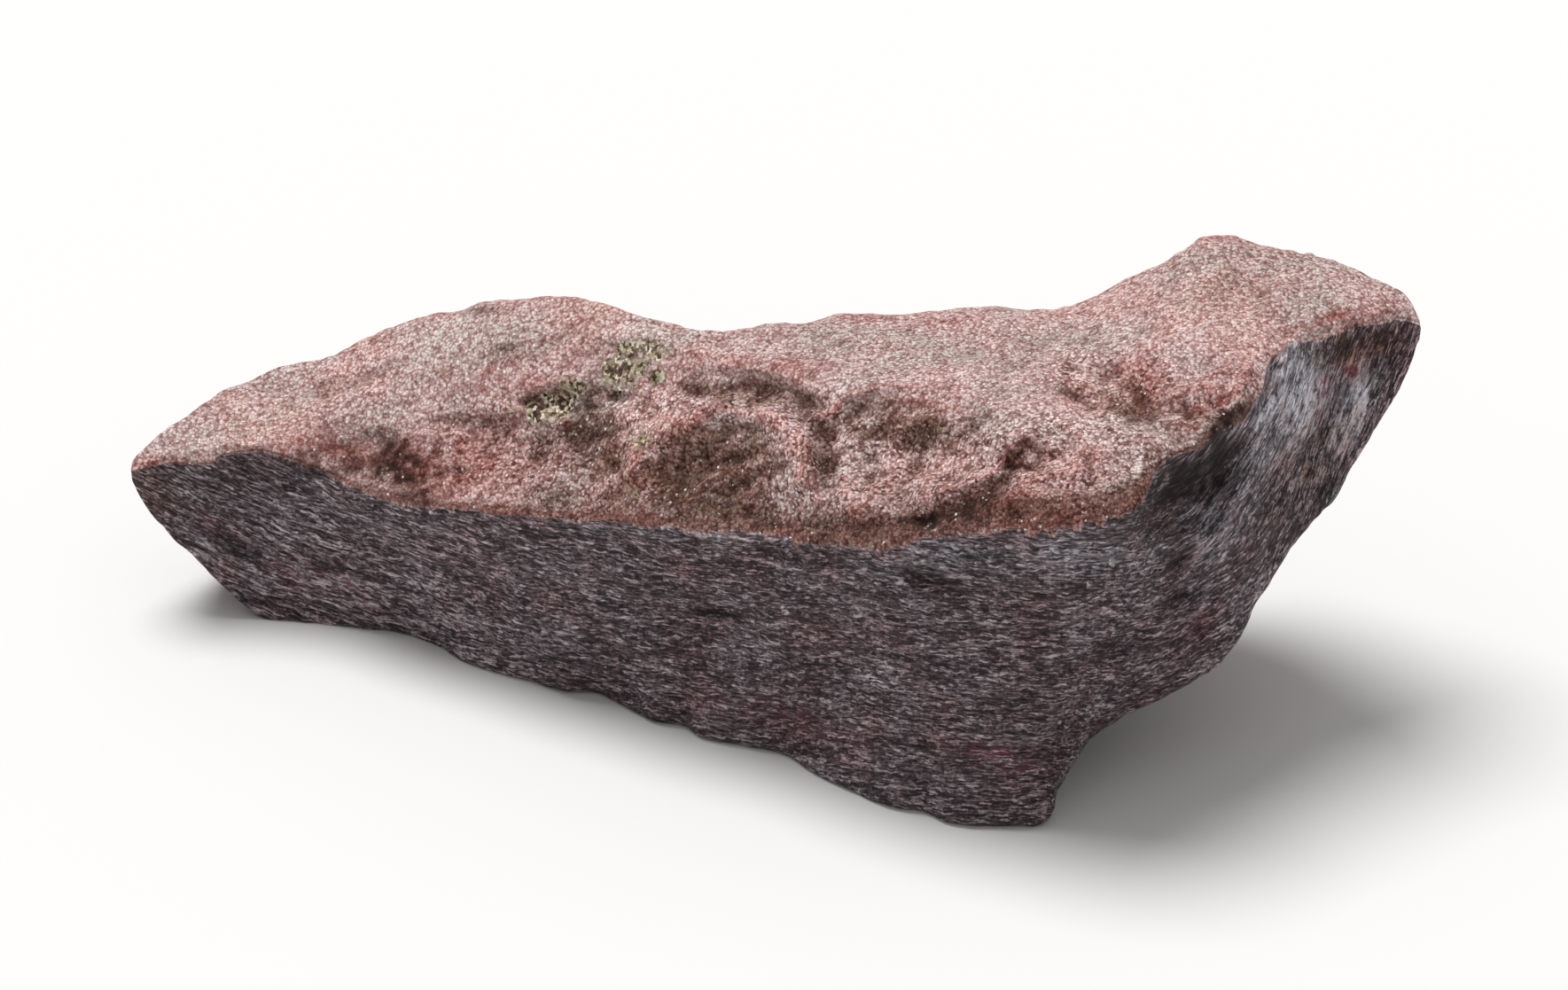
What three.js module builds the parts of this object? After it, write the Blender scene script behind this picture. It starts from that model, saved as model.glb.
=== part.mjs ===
// A rough piece of weathered red quartzite, about the length of a hand, lying on its flat sole.
// It is one solid. X runs along the stone from its thin left tip to the blunt knob on the right,
// Y runs away from the near side, Z is up. The origin is under the middle of the stone, on the bed.
// All lengths are in millimetres.
//
// The form is carried by eleven edge lines that run the length of the stone, from tip to tip. A
// cross section at any x joins the eleven in turn with straight flanks and rounds each corner off.
// Hollows, ribs and uneven weathering are then pressed into that skin.
import * as THREE from "three";

// Overall length, and how steeply the near side is looked down on where its edges are sighted.
const LEFT_END = -69.2;
const RIGHT_END = 69.2;
const SIGHT_ANGLE = THREE.MathUtils.degToRad(30);

// The near edges. Each point is [x, sighted, height]: sighted is how far up the edge stands in a
// view along the sight angle, measured from the stone's lowest point, and height is above the bed.
const FOOT = [
  [-68.8, 36.5, 15.5], [-67.7, 34.5, 13.2], [-65.8, 32.3, 11], [-63.9, 30.5, 9.2],
  [-60.1, 26.9, 5.3], [-57.5, 24.2, 2.4], [-56.3, 23.1, 1.2], [-54.4, 22.2, 0.3],
  [-51.5, 21.7, 0], [-48.7, 21.5, 0],
  [-44.9, 21, 0], [-39.2, 20.4, 0], [-36.5, 19.3, 0], [-33.5, 17.7, 0], [-29.7, 16.4, 0],
  [-25.9, 15.3, 0], [-22.1, 14.1, 0], [-19.5, 14.2, 0], [-16.4, 12.8, 0], [-13, 11, 0],
  [-10, 10.6, 0], [-8, 9.4, 0], [-3.1, 8.7, 0], [1.5, 7.7, 0], [3.5, 6.3, 0], [8.3, 3.8, 0],
  [13.5, 2, 0], [15.9, 1.8, 0], [18.5, 0.7, 0], [22.5, 0.1, 0], [27.5, 0, 0], [29, 0.5, 0.4],
  [29.9, 1.8, 1.6], [30.3, 3.4, 3], [31.3, 5.7, 4.8], [33, 8.5, 7], [35, 10.5, 8.2],
  [36.8, 11.7, 9], [40.6, 13.6, 10.5], [44.4, 15.6, 12], [48.2, 18.4, 14], [50.1, 20.6, 15.6],
  [51.3, 23.4, 17.8], [53.9, 27.9, 21.5], [57.7, 33.3, 26.5], [59.5, 35, 28.3], [61.5, 38.1, 31],
  [65.3, 44.4, 37], [67.2, 47.6, 40], [68.2, 49.9, 42], [68.8, 51.7, 43.8],
];
const FACE = [
  [-68.8, 37.2, 16.4], [-63.9, 34.8, 14], [-56, 31.5, 10.5], [-45, 28.5, 9.5], [-35, 26.2, 10.1],
  [-25, 24, 11.3], [-15, 22.2, 12.5], [-5, 20.2, 13.8], [5, 17.6, 14.8], [15, 16.1, 16.7],
  [25, 15.8, 18.4], [30, 17, 19.8], [35, 21.7, 24.4], [40, 25, 26.2], [45, 28.1, 27.4],
  [50, 32, 29.4], [55, 40.2, 34.9], [60, 44.2, 37.9], [65, 48.9, 41.6], [68.8, 52.8, 44.8],
];
const BROW = [
  [-68.8, 37.9, 17.5], [-67.5, 38.5, 18.3], [-63.9, 38.8, 18.8], [-60.6, 38.7, 19],
  [-58.8, 39.7, 19.8], [-56, 40, 20.2], [-53, 39.6, 20.3], [-50.3, 38.5, 20], [-46.8, 36.9, 19.6],
  [-43, 35.3, 19.5], [-38.2, 34.1, 20], [-33.5, 33.6, 21], [-25.9, 33, 23], [-16.4, 32.5, 25.5],
  [-8, 31.7, 27.8], [-1.2, 31.2, 29.3], [3.5, 30, 30.2], [10.2, 29.6, 32], [15.9, 30.5, 34.6],
  [21.6, 31.5, 37], [27.3, 31.7, 38.5], [33, 32.6, 39.7], [36.8, 33.3, 40.3], [39.2, 35, 41.2],
  [40.3, 37.4, 42], [41.6, 38.7, 42.6], [45.4, 40.4, 43], [47.5, 41.6, 43.2], [50, 43.6, 43.8],
  [51.6, 45.6, 44.6], [52.6, 47.8, 45.1], [54.2, 49.7, 46.2], [57.7, 51.8, 47.1],
  [60.6, 52.9, 47.1], [64.4, 53.7, 46.7], [67.2, 54.3, 46.2], [68.8, 53.8, 45.6],
];
const LIP = [
  [-68.8, 38.2, 17.9], [-63.9, 39.4, 19.4], [-58.8, 40.2, 20.4], [-54, 40.5, 21],
  [-50.3, 40, 21.3], [-45, 38.6, 21.3], [-40, 37.2, 21.9], [-35, 36, 22.4], [-30, 35.5, 23.4],
  [-20, 34.8, 25.8], [-10, 34.2, 29], [0, 34, 31.8], [5, 34.2, 34.2], [10, 34.4, 36],
  [15, 34.8, 37.8], [20, 35.8, 40.2], [25, 36.6, 41.7], [30, 36, 42.1], [35, 36.4, 42.5],
  [38.2, 37.4, 42.9], [40.3, 38.9, 43.2], [42, 39.7, 43.4], [45.4, 41.3, 43.8], [50, 44.4, 44.6],
  [51.8, 46.5, 45.4], [53.2, 50, 46.9], [57.7, 52.4, 47.6], [62.5, 53.9, 47.5], [67.2, 54.8, 46.7],
  [68.8, 54.1, 45.9],
];
const RIM = [
  [-68.8, 38.6, 18.2], [-63.9, 40.2, 20], [-59.1, 40.8, 20.9], [-54.4, 41.2, 21.6],
  [-49.6, 41.8, 22.6], [-44.9, 43, 24], [-40.1, 43.8, 25.6], [-35.4, 44.8, 27.7],
  [-29.7, 46, 30.4], [-24, 48, 33.4], [-18.3, 50.3, 36.5], [-12.6, 50.5, 38.8], [-7.8, 49.8, 40],
  [-1.2, 49, 41], [5.5, 47.3, 42], [12.1, 46.5, 43], [17.8, 46, 43.8], [22.6, 45, 44.4],
  [27.3, 43.2, 44.5], [31.1, 42, 44.4], [35.9, 41.2, 44.4], [39.7, 40.8, 44.2], [42.4, 41.2, 44.3],
  [45.4, 42.6, 44.7], [49.2, 44.8, 45.2], [51.3, 47, 46], [53.2, 51.4, 47.8], [57.7, 53.2, 48.4],
  [62.5, 54.6, 48.2], [67.2, 55.4, 47.1], [68.8, 54.4, 46.1],
];
const BENCH = [
  [-68.8, 39.1, 18.5], [-60.1, 43.5, 22], [-52.5, 45.5, 23.8], [-44.9, 47.5, 26.4],
  [-37.3, 49.5, 29.8], [-29.7, 51.2, 33.7], [-22.1, 53.2, 37.3], [-14.5, 52.8, 39.7],
  [-5.9, 51.4, 40.6], [6.4, 50.8, 42.3], [17.8, 50.5, 43.6], [27.3, 49.5, 44.4],
  [31.1, 49, 44.8], [36.8, 49.8, 46.2], [42.5, 51, 47.7], [48.2, 52, 48.6], [53.9, 54.2, 49],
  [59.6, 56.2, 49.2], [64.4, 57, 48.5], [67.2, 56.2, 47.4], [68.8, 54.8, 46.2],
];
const CREST = [
  [-68.8, 39.6, 18.7], [-67.7, 40.6, 19.5], [-65.8, 42.2, 20.5], [-63.9, 43.4, 21.5],
  [-60.1, 46.3, 22.8], [-56.3, 48.1, 23.8], [-52.5, 49.6, 25], [-48.7, 50.2, 26],
  [-44.9, 51.9, 28], [-41.1, 53.3, 30], [-37.3, 54.6, 32], [-33, 55.1, 33.9], [-31.8, 55.9, 34.7],
  [-27.8, 56.2, 36.5], [-22.6, 56.8, 38.4], [-18.3, 56, 39.5], [-14.5, 54.8, 40],
  [-10.7, 53.9, 40.2], [-7, 53.1, 40.4], [-4, 53.2, 40.7], [0.7, 53.8, 41.5], [2.5, 53.6, 41.7],
  [6.4, 54.6, 42.1], [12.1, 54.7, 42.6], [17.8, 55.1, 43], [23.5, 55.5, 43.5], [27.3, 55, 43.5],
  [31.1, 55.4, 44], [34.9, 56.8, 45], [38.7, 58.5, 46.5], [42.5, 60.6, 48.5], [44.4, 61.8, 49.5],
  [46.3, 62.9, 50.3], [48.5, 63, 50.4], [52, 62.1, 50], [55.8, 61.4, 49.7], [59.6, 60.7, 49.3],
  [63.4, 59.1, 48.4], [66, 58, 47.8], [67.7, 56.8, 47.1], [68.8, 54.9, 46.1],
];

// The far edges and the underside. Each point is [x, y, height].
const SHOULDER = [
  [-68.8, 47.5, 18], [-65, 51.5, 18.6], [-58, 57.5, 19.5], [-45, 59.5, 23], [-37, 58.5, 27.5],
  [-29, 56, 31], [-22, 53, 33.5], [-13, 47.5, 34.5], [-5, 43, 34], [5, 41.5, 36], [14, 41.5, 37],
  [23.5, 41.5, 38], [31, 40.5, 38.5], [38.7, 42.5, 41.5], [46.5, 44, 44.6], [53, 43, 44.8],
  [59.6, 40.5, 45], [65, 36, 45.2], [68.8, 29.8, 45.6],
];
const BACK = [
  [-68.8, 47.4, 17], [-65, 52, 14], [-58, 58.5, 11], [-45, 63, 12.5], [-37, 62.5, 11],
  [-29, 60, 14], [-22, 60.5, 18], [-13, 57.5, 17], [-5, 52.5, 15], [5, 51, 19], [14, 52.5, 22],
  [23.5, 50, 19], [31, 47.5, 20], [38.7, 48.5, 25], [46.5, 49.5, 31], [53, 46.5, 32],
  [59.6, 42, 36.5], [65, 35.5, 40.5], [68.8, 29.6, 44.6],
];
const HEEL = [
  [-68.8, 46.8, 16.4], [-65, 50, 9.5], [-60, 54, 3], [-56.5, 55.5, 0], [-45, 60, 0], [-37, 61.5, 0],
  [-29, 57.5, 0], [-20, 58.5, 0], [-12, 55.5, 0], [-3, 50.5, 0], [6, 51, 0], [15, 52.5, 0],
  [23.5, 49, 0], [31, 46.5, 0], [35, 45.5, 1], [41, 45, 6], [47, 43.5, 13], [54, 40, 21.5],
  [61, 35, 32], [65, 32, 38], [68.8, 29.3, 44],
];
const SOLE = [
  [-68.8, 46.4, 15.8], [-65, 47.5, 9.5], [-60, 49, 3], [-56.5, 48.5, 0], [-45, 50, 0], [-33, 47, 0],
  [-22, 43, 0], [-10, 37, 0], [0.7, 33, 0], [12, 28, 0], [23.5, 25, 0], [31, 24, 0],
  [35, 25, 2], [41, 26.5, 6], [47, 27, 10.5], [54, 27.5, 18], [61, 28.5, 28.5], [65, 28.8, 35.5],
  [68.8, 28.9, 43.7],
];

// The two ends, where all the lines meet: [y, height].
const LEFT_TIP = [46.2, 17.5];
const RIGHT_TIP = [28.6, 45];
const TIP_ROUNDING = 0.7;

// How far the corner at each line is rounded, as a share of the flanks beside it: foot, middle of
// the near face, brow, lip, rim, bench, crest, shoulder, back, heel, sole.
const ROUNDING = [0.14, 0.4, 0.1, 0.25, 0.2, 0.4, 0.25, 0.2, 0.25, 0.14, 0.4];
const CREST_LINE = 6;

// Hollows in the near side and the top, placed where they are sighted: [x, sighted, reach, up,
// down, turn, depth]. reach is half the length, up and down are the half heights on either side of
// the deepest place, turn is in degrees, and a negative depth is a rib or a lump.
const HOLLOWS = [
  [-6, 35.3, 9, 7, 6, 4, 3], // wide scar
  [14.3, 39.2, 9.8, 6.3, 5.6, -5, 3.8], // right scar
  [-22.5, 45.6, 6, 2, 1.8, 8, 1.5], // overgrown hollow under the summit
  [-17, 48, 4.5, 2.2, 1.8, 30, 0.9],
  [-27, 41.3, 7.5, 3.2, 4.2, -8, 1.6], // brown slope on the left
  [-40, 37.6, 4.6, 2.6, 2.6, -62, 1], // dent above the brow
  [-42.5, 41.6, 3, 1.4, 1.4, 10, 0.6],
  [-34.3, 43.4, 5, 1.2, 1.2, 8, 0.7],
  [-45, 47.6, 9, 1.3, 1.3, 14, 0.5], // valley in the left slope
  [27, 38.8, 3.4, 2.2, 2, 20, 1.2], // pit in the front of the tongue
  [27, 35, 3, 1.6, 2, 10, -0.6],
  [37.5, 46.6, 7.6, 3.4, 2.8, -14, 1.9], // broken pocket
  [41.3, 46.8, 3.2, 1.7, 1.7, -30, -0.5],
  [48.3, 47.2, 4.8, 2.6, 2.6, 30, -0.8], // lump in front of the knob
  [45.8, 36.6, 8.4, 4.2, 5.4, 32, 4.2], // cave under the right brow
  [62.4, 49.8, 5.6, 2.4, 2.8, 8, 1.1], // hollow under the knob's brow
  [43.3, 28.8, 2, 1.4, 1.4, 25, 1], // pits on the right corner
  [43.4, 25, 2.8, 1.2, 1.2, 42, 0.9],
];

// Long grooves and ribs in the near side, pressed in along paths: [half width, depth, path], with
// each path's points as [x, sighted]. A negative depth is a rib.
const CREASES = [
  // rib round the wide scar
  [1.9, -1.2, [[-13.5, 40.5], [-10.5, 43], [-6, 44.9], [-1.5, 44.4], [2, 41.6], [3.6, 37.5], [3.8, 34]]],
  // groove outside it
  [2.1, 1.5, [[-13, 47.2], [-6, 47.2], [0, 46.6], [4.2, 44.2], [6.2, 41], [6.3, 36.5], [8.5, 33.3]]],
  // gully
  [2.2, 1.5, [[-20.5, 43.6], [-19.5, 40], [-17.5, 36.5]]],
  // grainy strip beside it
  [1.3, -0.7, [[-16, 43], [-14.8, 40], [-15.5, 37], [-14, 35]]],
  // slanting groove
  [1.7, 2, [[11, 33.2], [15.5, 33], [20, 34.4], [23.5, 36.4], [27.5, 39.5]]],
  // upper edge of the right scar
  [1.7, 1.4, [[5.5, 41.5], [8.5, 44.4], [13, 45.3], [18, 45.1], [21.8, 43.9], [24.3, 41.3]]],
  // step above the tongue
  [1.1, 1, [[29.5, 46.3], [33, 45.2], [37, 43.8], [41, 42.3], [45, 41.4]]],
  // arris of the right face
  [2.4, -1.6, [[56.5, 50.5], [54.5, 46.5], [53, 42.5], [51, 38], [48, 33.5], [45.5, 29.5]]],
  // groove beside it
  [2.2, 1.1, [[60.5, 49.6], [58.5, 46], [57, 41.5], [54.5, 36]]],
  [1.5, -0.6, [[64.5, 50.2], [62.5, 46], [60, 41.5]]],
];

// The power in the profile of hollows and creases: 1 would leave a sharp edge all round them.
const CRISPNESS = 1.2;

// Broad scars on the far side: [x, height, reach, up, down, turn, depth], pressed in along Y.
const FAR_SCARS = [
  [-41, 17, 15, 9, 12, 12, 3],
  [-12, 24, 14, 8, 15, -18, 3.4],
  [14, 14, 12, 12, 12, 25, 3.2],
  [36, 29, 13, 9, 14, -12, 3.6],
  [57, 37, 8, 6, 8, -30, 2],
];

// Uneven weathering: each octave is [spacing, height]. It is held back to a share of its height
// along the foot and the crest and on the sole, and dies away towards the two tips.
const WEATHERING = [[17, 0.55], [8.5, 0.38], [4.3, 0.24]];
const OUTLINE_SHARE = 0.3;
const SOLE_SHARE = 0.35;
const TIP_FADE = 14;

// Bedding: long low swells that follow the stone's lineation, [along, across, through, height].
const BEDDING = [15, 2.6, 9, 0.35];
// The lineation's course, [x, sighted], as it falls from the left tip and climbs up the knob.
const LINEATION = [
  [-69, 0], [-55, -6.8], [-45, -10.3], [-35, -12.8], [-25, -15.1], [-15, -17], [-5, -18.4],
  [5, -19.4], [15, -20.4], [25, -21.2], [35, -21.3], [41, -20.5], [45, -18.5], [50, -13.5],
  [55, -4.8], [60, 8.3], [69, 27],
];

const SOLE_CLEARANCE = 0.2; // how far the uneven sole is lowered into the bed before it is cut flat

// Mesh fineness: columns along the stone, and rows in each of the eleven flanks.
const COLUMNS = 97;
const COLUMN_CROWDING = 0.6;
const ROWS = [4, 4, 3, 12, 5, 4, 3, 3, 4, 3, 3];

const STONE_COLOUR = 0xa98884;

// A smooth curve through hand-set points that never swings past them: a cubic between each pair,
// with each slope held to twice the smaller slope beside it.
function curveThrough(points, axis, x) {
  const last = points.length - 1;
  const at = THREE.MathUtils.clamp(x, points[0][0], points[last][0]);
  let i = 0;
  while (i < last - 1 && at > points[i + 1][0]) i += 1;
  const gap = (k) => points[k + 1][0] - points[k][0];
  const rise = (k) => (points[k + 1][axis] - points[k][axis]) / gap(k);
  const slope = (k) => {
    if (k === 0) return rise(0);
    if (k === last) return rise(last - 1);
    const [a, b] = [rise(k - 1), rise(k)];
    if (a * b <= 0) return 0;
    const even = (a * gap(k) + b * gap(k - 1)) / (gap(k) + gap(k - 1));
    return Math.sign(a) * Math.min(2 * Math.abs(a), 2 * Math.abs(b), Math.abs(even));
  };
  const width = gap(i);
  const s = (at - points[i][0]) / width;
  const [p, q] = [points[i][axis], points[i + 1][axis]];
  const [m, n] = [slope(i) * width, slope(i + 1) * width];
  return p + s * (m + s * (3 * (q - p) - 2 * m - n + s * (m + n - 2 * (q - p))));
}

// A point of a near edge, [y, height], from where it is sighted and how high it is.
function nearEdge(points, x) {
  const sighted = curveThrough(points, 1, x);
  const height = curveThrough(points, 2, x);
  return [(sighted - height * Math.cos(SIGHT_ANGLE)) / Math.sin(SIGHT_ANGLE), height];
}

function farEdge(points, x) {
  return [curveThrough(points, 1, x), curveThrough(points, 2, x)];
}

// The eleven corners of the cross section at x, from the foot up the near side, over and under.
// Each is moved out a little, so that once it is rounded the skin passes through its edge line.
function corners(x) {
  const near = [FOOT, FACE, BROW, LIP, RIM, BENCH, CREST].map((line) => nearEdge(line, x));
  const far = [SHOULDER, BACK, HEEL, SOLE].map((line) => farEdge(line, x));
  const ring = [...near, ...far];
  const count = ring.length;
  return ring.map((corner, i) =>
    corner.map((value, axis) => {
      const bend = ring[(i + 1) % count][axis] - 2 * value + ring[(i + count - 1) % count][axis];
      return value - (bend * ROUNDING[i]) / 4;
    }),
  );
}

// The bare form: the corners joined by straight flanks, each corner rounded by a parabola, and
// the whole section drawn in to the tip by a quarter circle over the last stretch of each end.
function form(x, girth) {
  const ring = corners(x);
  const count = ring.length;
  const turn = ((girth % count) + count) % count;
  const k = Math.floor(turn);
  const part = turn - k;
  const point = [0, 1].map((axis) => {
    const corner = (i) => ring[(i + count) % count][axis];
    const soften = (i, away) => {
      const w = ROUNDING[i % count];
      const bend = corner(i + 1) - 2 * corner(i) + corner(i - 1);
      return away < w ? (bend * (w - away) ** 2) / (4 * w) : 0;
    };
    return corner(k) * (1 - part) + corner(k + 1) * part + soften(k, part) + soften(k + 1, 1 - part);
  });
  const left = x < 0;
  const reach = Math.min(left ? x - LEFT_END : RIGHT_END - x, TIP_ROUNDING) / TIP_ROUNDING;
  const share = Math.sqrt(Math.max(0, 1 - (1 - reach) ** 2));
  const tip = left ? LEFT_TIP : RIGHT_TIP;
  return new THREE.Vector3(x, ...point.map((value, axis) => tip[axis] + (value - tip[axis]) * share));
}

// Where a point is sighted, and how far along the line of sight it lies.
function sight(point) {
  const [up, away] = [Math.cos(SIGHT_ANGLE), Math.sin(SIGHT_ANGLE)];
  return [point.y * away + point.z * up, point.y * up - point.z * away];
}

// A number from -1 to 1 for each whole-number place, the same every time.
function lattice(i, j, k, seed) {
  let h = Math.imul(i, 374761393) ^ Math.imul(j, 668265263);
  h ^= Math.imul(k, 1103515245) ^ Math.imul(seed, 974634777);
  h = Math.imul(h ^ (h >>> 13), 1274126177);
  h = Math.imul(h ^ (h >>> 15), 461845907);
  h ^= h >>> 16;
  return (h >>> 0) / 2147483647.5 - 1;
}

// Smooth unevenness: the lattice numbers blended between their places.
function unevenness(place, seed) {
  const base = place.map(Math.floor);
  const blend = place.map((value, axis) => THREE.MathUtils.smootherstep(value - base[axis], 0, 1));
  let sum = 0;
  for (let corner = 0; corner < 8; corner += 1) {
    const bits = [corner & 1, (corner >> 1) & 1, corner >> 2];
    const weight = bits.reduce((w, bit, axis) => w * (bit ? blend[axis] : 1 - blend[axis]), 1);
    sum += weight * lattice(base[0] + bits[0], base[1] + bits[1], base[2] + bits[2], seed);
  }
  return sum;
}

// How far the weathered skin stands out of the bare form at a place.
function weatheringAt(point, girth) {
  const count = ROWS.length;
  const fromOutline = Math.min(girth, count - girth, Math.abs(girth - CREST_LINE));
  const swell = THREE.MathUtils.lerp(OUTLINE_SHARE, 1, THREE.MathUtils.smoothstep(fromOutline, 0, 0.5));
  const underneath = THREE.MathUtils.smoothstep(girth, count - 2.4, count - 1.9);
  const fromTip = Math.min(point.x - LEFT_END, RIGHT_END - point.x);
  const thickness = THREE.MathUtils.lerp(0.15, 1, THREE.MathUtils.smoothstep(fromTip, 0, TIP_FADE));
  const strength = swell * thickness * THREE.MathUtils.lerp(1, SOLE_SHARE, underneath);
  const height = WEATHERING.reduce((sum, [spacing, size], octave) => {
    const place = [point.x / spacing, point.y / spacing, point.z / spacing];
    return sum + size * unevenness(place, octave + 1);
  }, 0);
  const [sighted, beyond] = sight(point);
  const [along, across, through, size] = BEDDING;
  const course = sighted - curveThrough(LINEATION, 1, point.x);
  const place = [point.x / along, course / across, beyond / through];
  return strength * (height + size * unevenness(place, WEATHERING.length + 1));
}

// The depth of a list of dents at a place: each is deepest in its middle and shallow at its edge.
function dents(list, x, height) {
  return list.reduce((sum, [midX, midHeight, reach, up, down, degrees, depth]) => {
    const turn = THREE.MathUtils.degToRad(degrees);
    const [dx, dh] = [x - midX, height - midHeight];
    const along = (dx * Math.cos(turn) + dh * Math.sin(turn)) / reach;
    const side = dh * Math.cos(turn) - dx * Math.sin(turn);
    const across = side / (side > 0 ? up : down);
    return sum + depth * Math.max(0, 1 - along * along - across * across) ** CRISPNESS;
  }, 0);
}

// The depth of a list of creases at a place, from its distance to each crease's path. Each crease
// fades out towards both ends, over two and a half half widths.
function creased(list, x, height) {
  const place = new THREE.Vector3(x, height, 0);
  return list.reduce((sum, [half, depth, path]) => {
    const points = path.map(([along, up]) => new THREE.Vector3(along, up, 0));
    const stretches = points.slice(1).map((end, i) => new THREE.Line3(points[i], end));
    const nearest = stretches.map((line) => line.closestPointToPoint(place, true, new THREE.Vector3()));
    const away = nearest.map((point) => point.distanceTo(place));
    const fromEnd = Math.min(points[0].distanceTo(place), points.at(-1).distanceTo(place));
    const fade = THREE.MathUtils.smoothstep(fromEnd, 0, 2.5 * half);
    return sum + depth * fade * Math.max(0, 1 - (Math.min(...away) / half) ** 2) ** CRISPNESS;
  }, 0);
}

// The bare form's outward direction, from two short steps along the skin.
function outwardAt(x, girth) {
  const step = 0.4;
  const middle = THREE.MathUtils.clamp(x, LEFT_END + step, RIGHT_END - step);
  const along = form(middle + step, girth).sub(form(middle - step, girth));
  const around = form(middle, girth + step / 4).sub(form(middle, girth - step / 4));
  return along.cross(around).normalize();
}

// A finished point of the stone's skin.
function skin(x, girth) {
  const bare = form(x, girth);
  const point = bare.clone().addScaledVector(outwardAt(x, girth), weatheringAt(bare, girth));
  const near = THREE.MathUtils.clamp(Math.min(girth / 0.3, (CREST_LINE - girth) / 0.4), 0, 1);
  const [sighted] = sight(bare);
  const hollow = near * (dents(HOLLOWS, x, sighted) + creased(CREASES, x, sighted));
  point.y += hollow * Math.cos(SIGHT_ANGLE);
  point.z -= hollow * Math.sin(SIGHT_ANGLE);
  const heelLine = CREST_LINE + 3;
  const far = THREE.MathUtils.clamp(Math.min((girth - CREST_LINE) / 0.6, (heelLine - girth) / 0.3), 0, 1);
  point.y -= far * dents(FAR_SCARS, x, bare.z);
  const under = THREE.MathUtils.smoothstep(girth, heelLine, heelLine + 0.4);
  point.z = Math.max(point.z - SOLE_CLEARANCE * under, 0);
  return point;
}

// The x of a column: even steps, crowded a little towards both ends.
function columnX(i) {
  const even = i / COLUMNS;
  const eased = even - (COLUMN_CROWDING * Math.sin(2 * Math.PI * even)) / (2 * Math.PI);
  return LEFT_END + (RIGHT_END - LEFT_END) * eased;
}

// The closed skin: one ring of points at each column, and one point at each tip.
function stoneGeometry() {
  const steps = (count) => Array.from({ length: count }, (_, i) => i);
  const girths = ROWS.flatMap((rows, flank) => steps(rows).map((row) => flank + row / rows));
  const rings = steps(COLUMNS - 1).map((i) => girths.map((girth) => skin(columnX(i + 1), girth)));
  const around = girths.length;
  const points = rings.flat();
  const leftTip = points.push(new THREE.Vector3(LEFT_END, ...LEFT_TIP)) - 1;
  const rightTip = points.push(new THREE.Vector3(RIGHT_END, ...RIGHT_TIP)) - 1;
  const faces = [];
  for (let row = 0; row < around; row += 1) {
    const next = (row + 1) % around;
    faces.push([leftTip, row, next]);
    for (let ring = 0; ring + 1 < rings.length; ring += 1) {
      const [a, b] = [ring * around + row, ring * around + next];
      faces.push([a, b + around, b], [a, a + around, b + around]);
    }
    const end = (rings.length - 1) * around;
    faces.push([rightTip, end + next, end + row]);
  }
  return new THREE.BufferGeometry().setFromPoints(points).setIndex(faces.flat());
}

// The geometry set over the origin: middle of its length and depth, sole on the bed.
function centred(geometry) {
  geometry.computeBoundingBox();
  const { min, max } = geometry.boundingBox;
  return geometry.translate(-(min.x + max.x) / 2, -(min.y + max.y) / 2, -min.z);
}

function makeRock() {
  const material = new THREE.MeshStandardMaterial({ color: STONE_COLOUR, roughness: 0.9, metalness: 0 });
  const rock = new THREE.Mesh(centred(stoneGeometry()), material);
  rock.name = "rock";
  return rock;
}

const group = new THREE.Group();
group.add(makeRock());

export default group;
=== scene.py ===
"""A rough piece of weathered red quartzite, about the length of a hand, in plain soft studio light.

The stone is one piece. Its fine skin is worked out on a grid from the same edge lines, hollows and
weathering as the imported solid, with the finer relief added, and it stands for that solid. Lengths
in the tables are millimetres in the stone's own layout: x along it, sighted or y across, height up.
"""

import logging
import math
from dataclasses import dataclass, field
from enum import Enum

import bpy
import numpy as np
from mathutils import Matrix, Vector


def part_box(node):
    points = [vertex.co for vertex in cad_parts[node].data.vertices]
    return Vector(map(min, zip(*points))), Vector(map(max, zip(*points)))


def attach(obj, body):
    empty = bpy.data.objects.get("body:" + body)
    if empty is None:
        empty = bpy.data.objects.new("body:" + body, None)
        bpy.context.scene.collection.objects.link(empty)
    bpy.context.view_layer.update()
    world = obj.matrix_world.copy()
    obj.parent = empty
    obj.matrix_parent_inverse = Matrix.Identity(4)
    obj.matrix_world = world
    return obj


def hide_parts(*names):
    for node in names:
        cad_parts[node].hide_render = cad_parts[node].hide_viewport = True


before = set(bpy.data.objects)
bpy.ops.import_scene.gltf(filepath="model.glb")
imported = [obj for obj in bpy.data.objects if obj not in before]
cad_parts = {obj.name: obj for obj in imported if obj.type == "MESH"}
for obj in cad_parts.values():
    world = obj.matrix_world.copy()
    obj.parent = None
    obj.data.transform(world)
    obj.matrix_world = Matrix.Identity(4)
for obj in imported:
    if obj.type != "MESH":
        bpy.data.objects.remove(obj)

MM = 0.001
NODE = "rock"
BODY = "root"
PIECE = "rough_stone"
Array = np.ndarray
Span = tuple[float, float]
Points = tuple[tuple[float, ...], ...]
Tones = dict[float, str]
Tree = bpy.types.NodeTree
Socket = bpy.types.NodeSocket
Outputs = bpy.types.NodeOutputs
Inputs = dict[str | int, object]
Marks = dict[str, Socket]
log = logging.getLogger("rough_rock")
# The power in the profile of hollows and ribs: 1 would leave a sharp crease all round.
CRISPNESS = 1.2
# How far in from its ends a crease fades, in half widths.
END_FADE = 2.5

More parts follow.
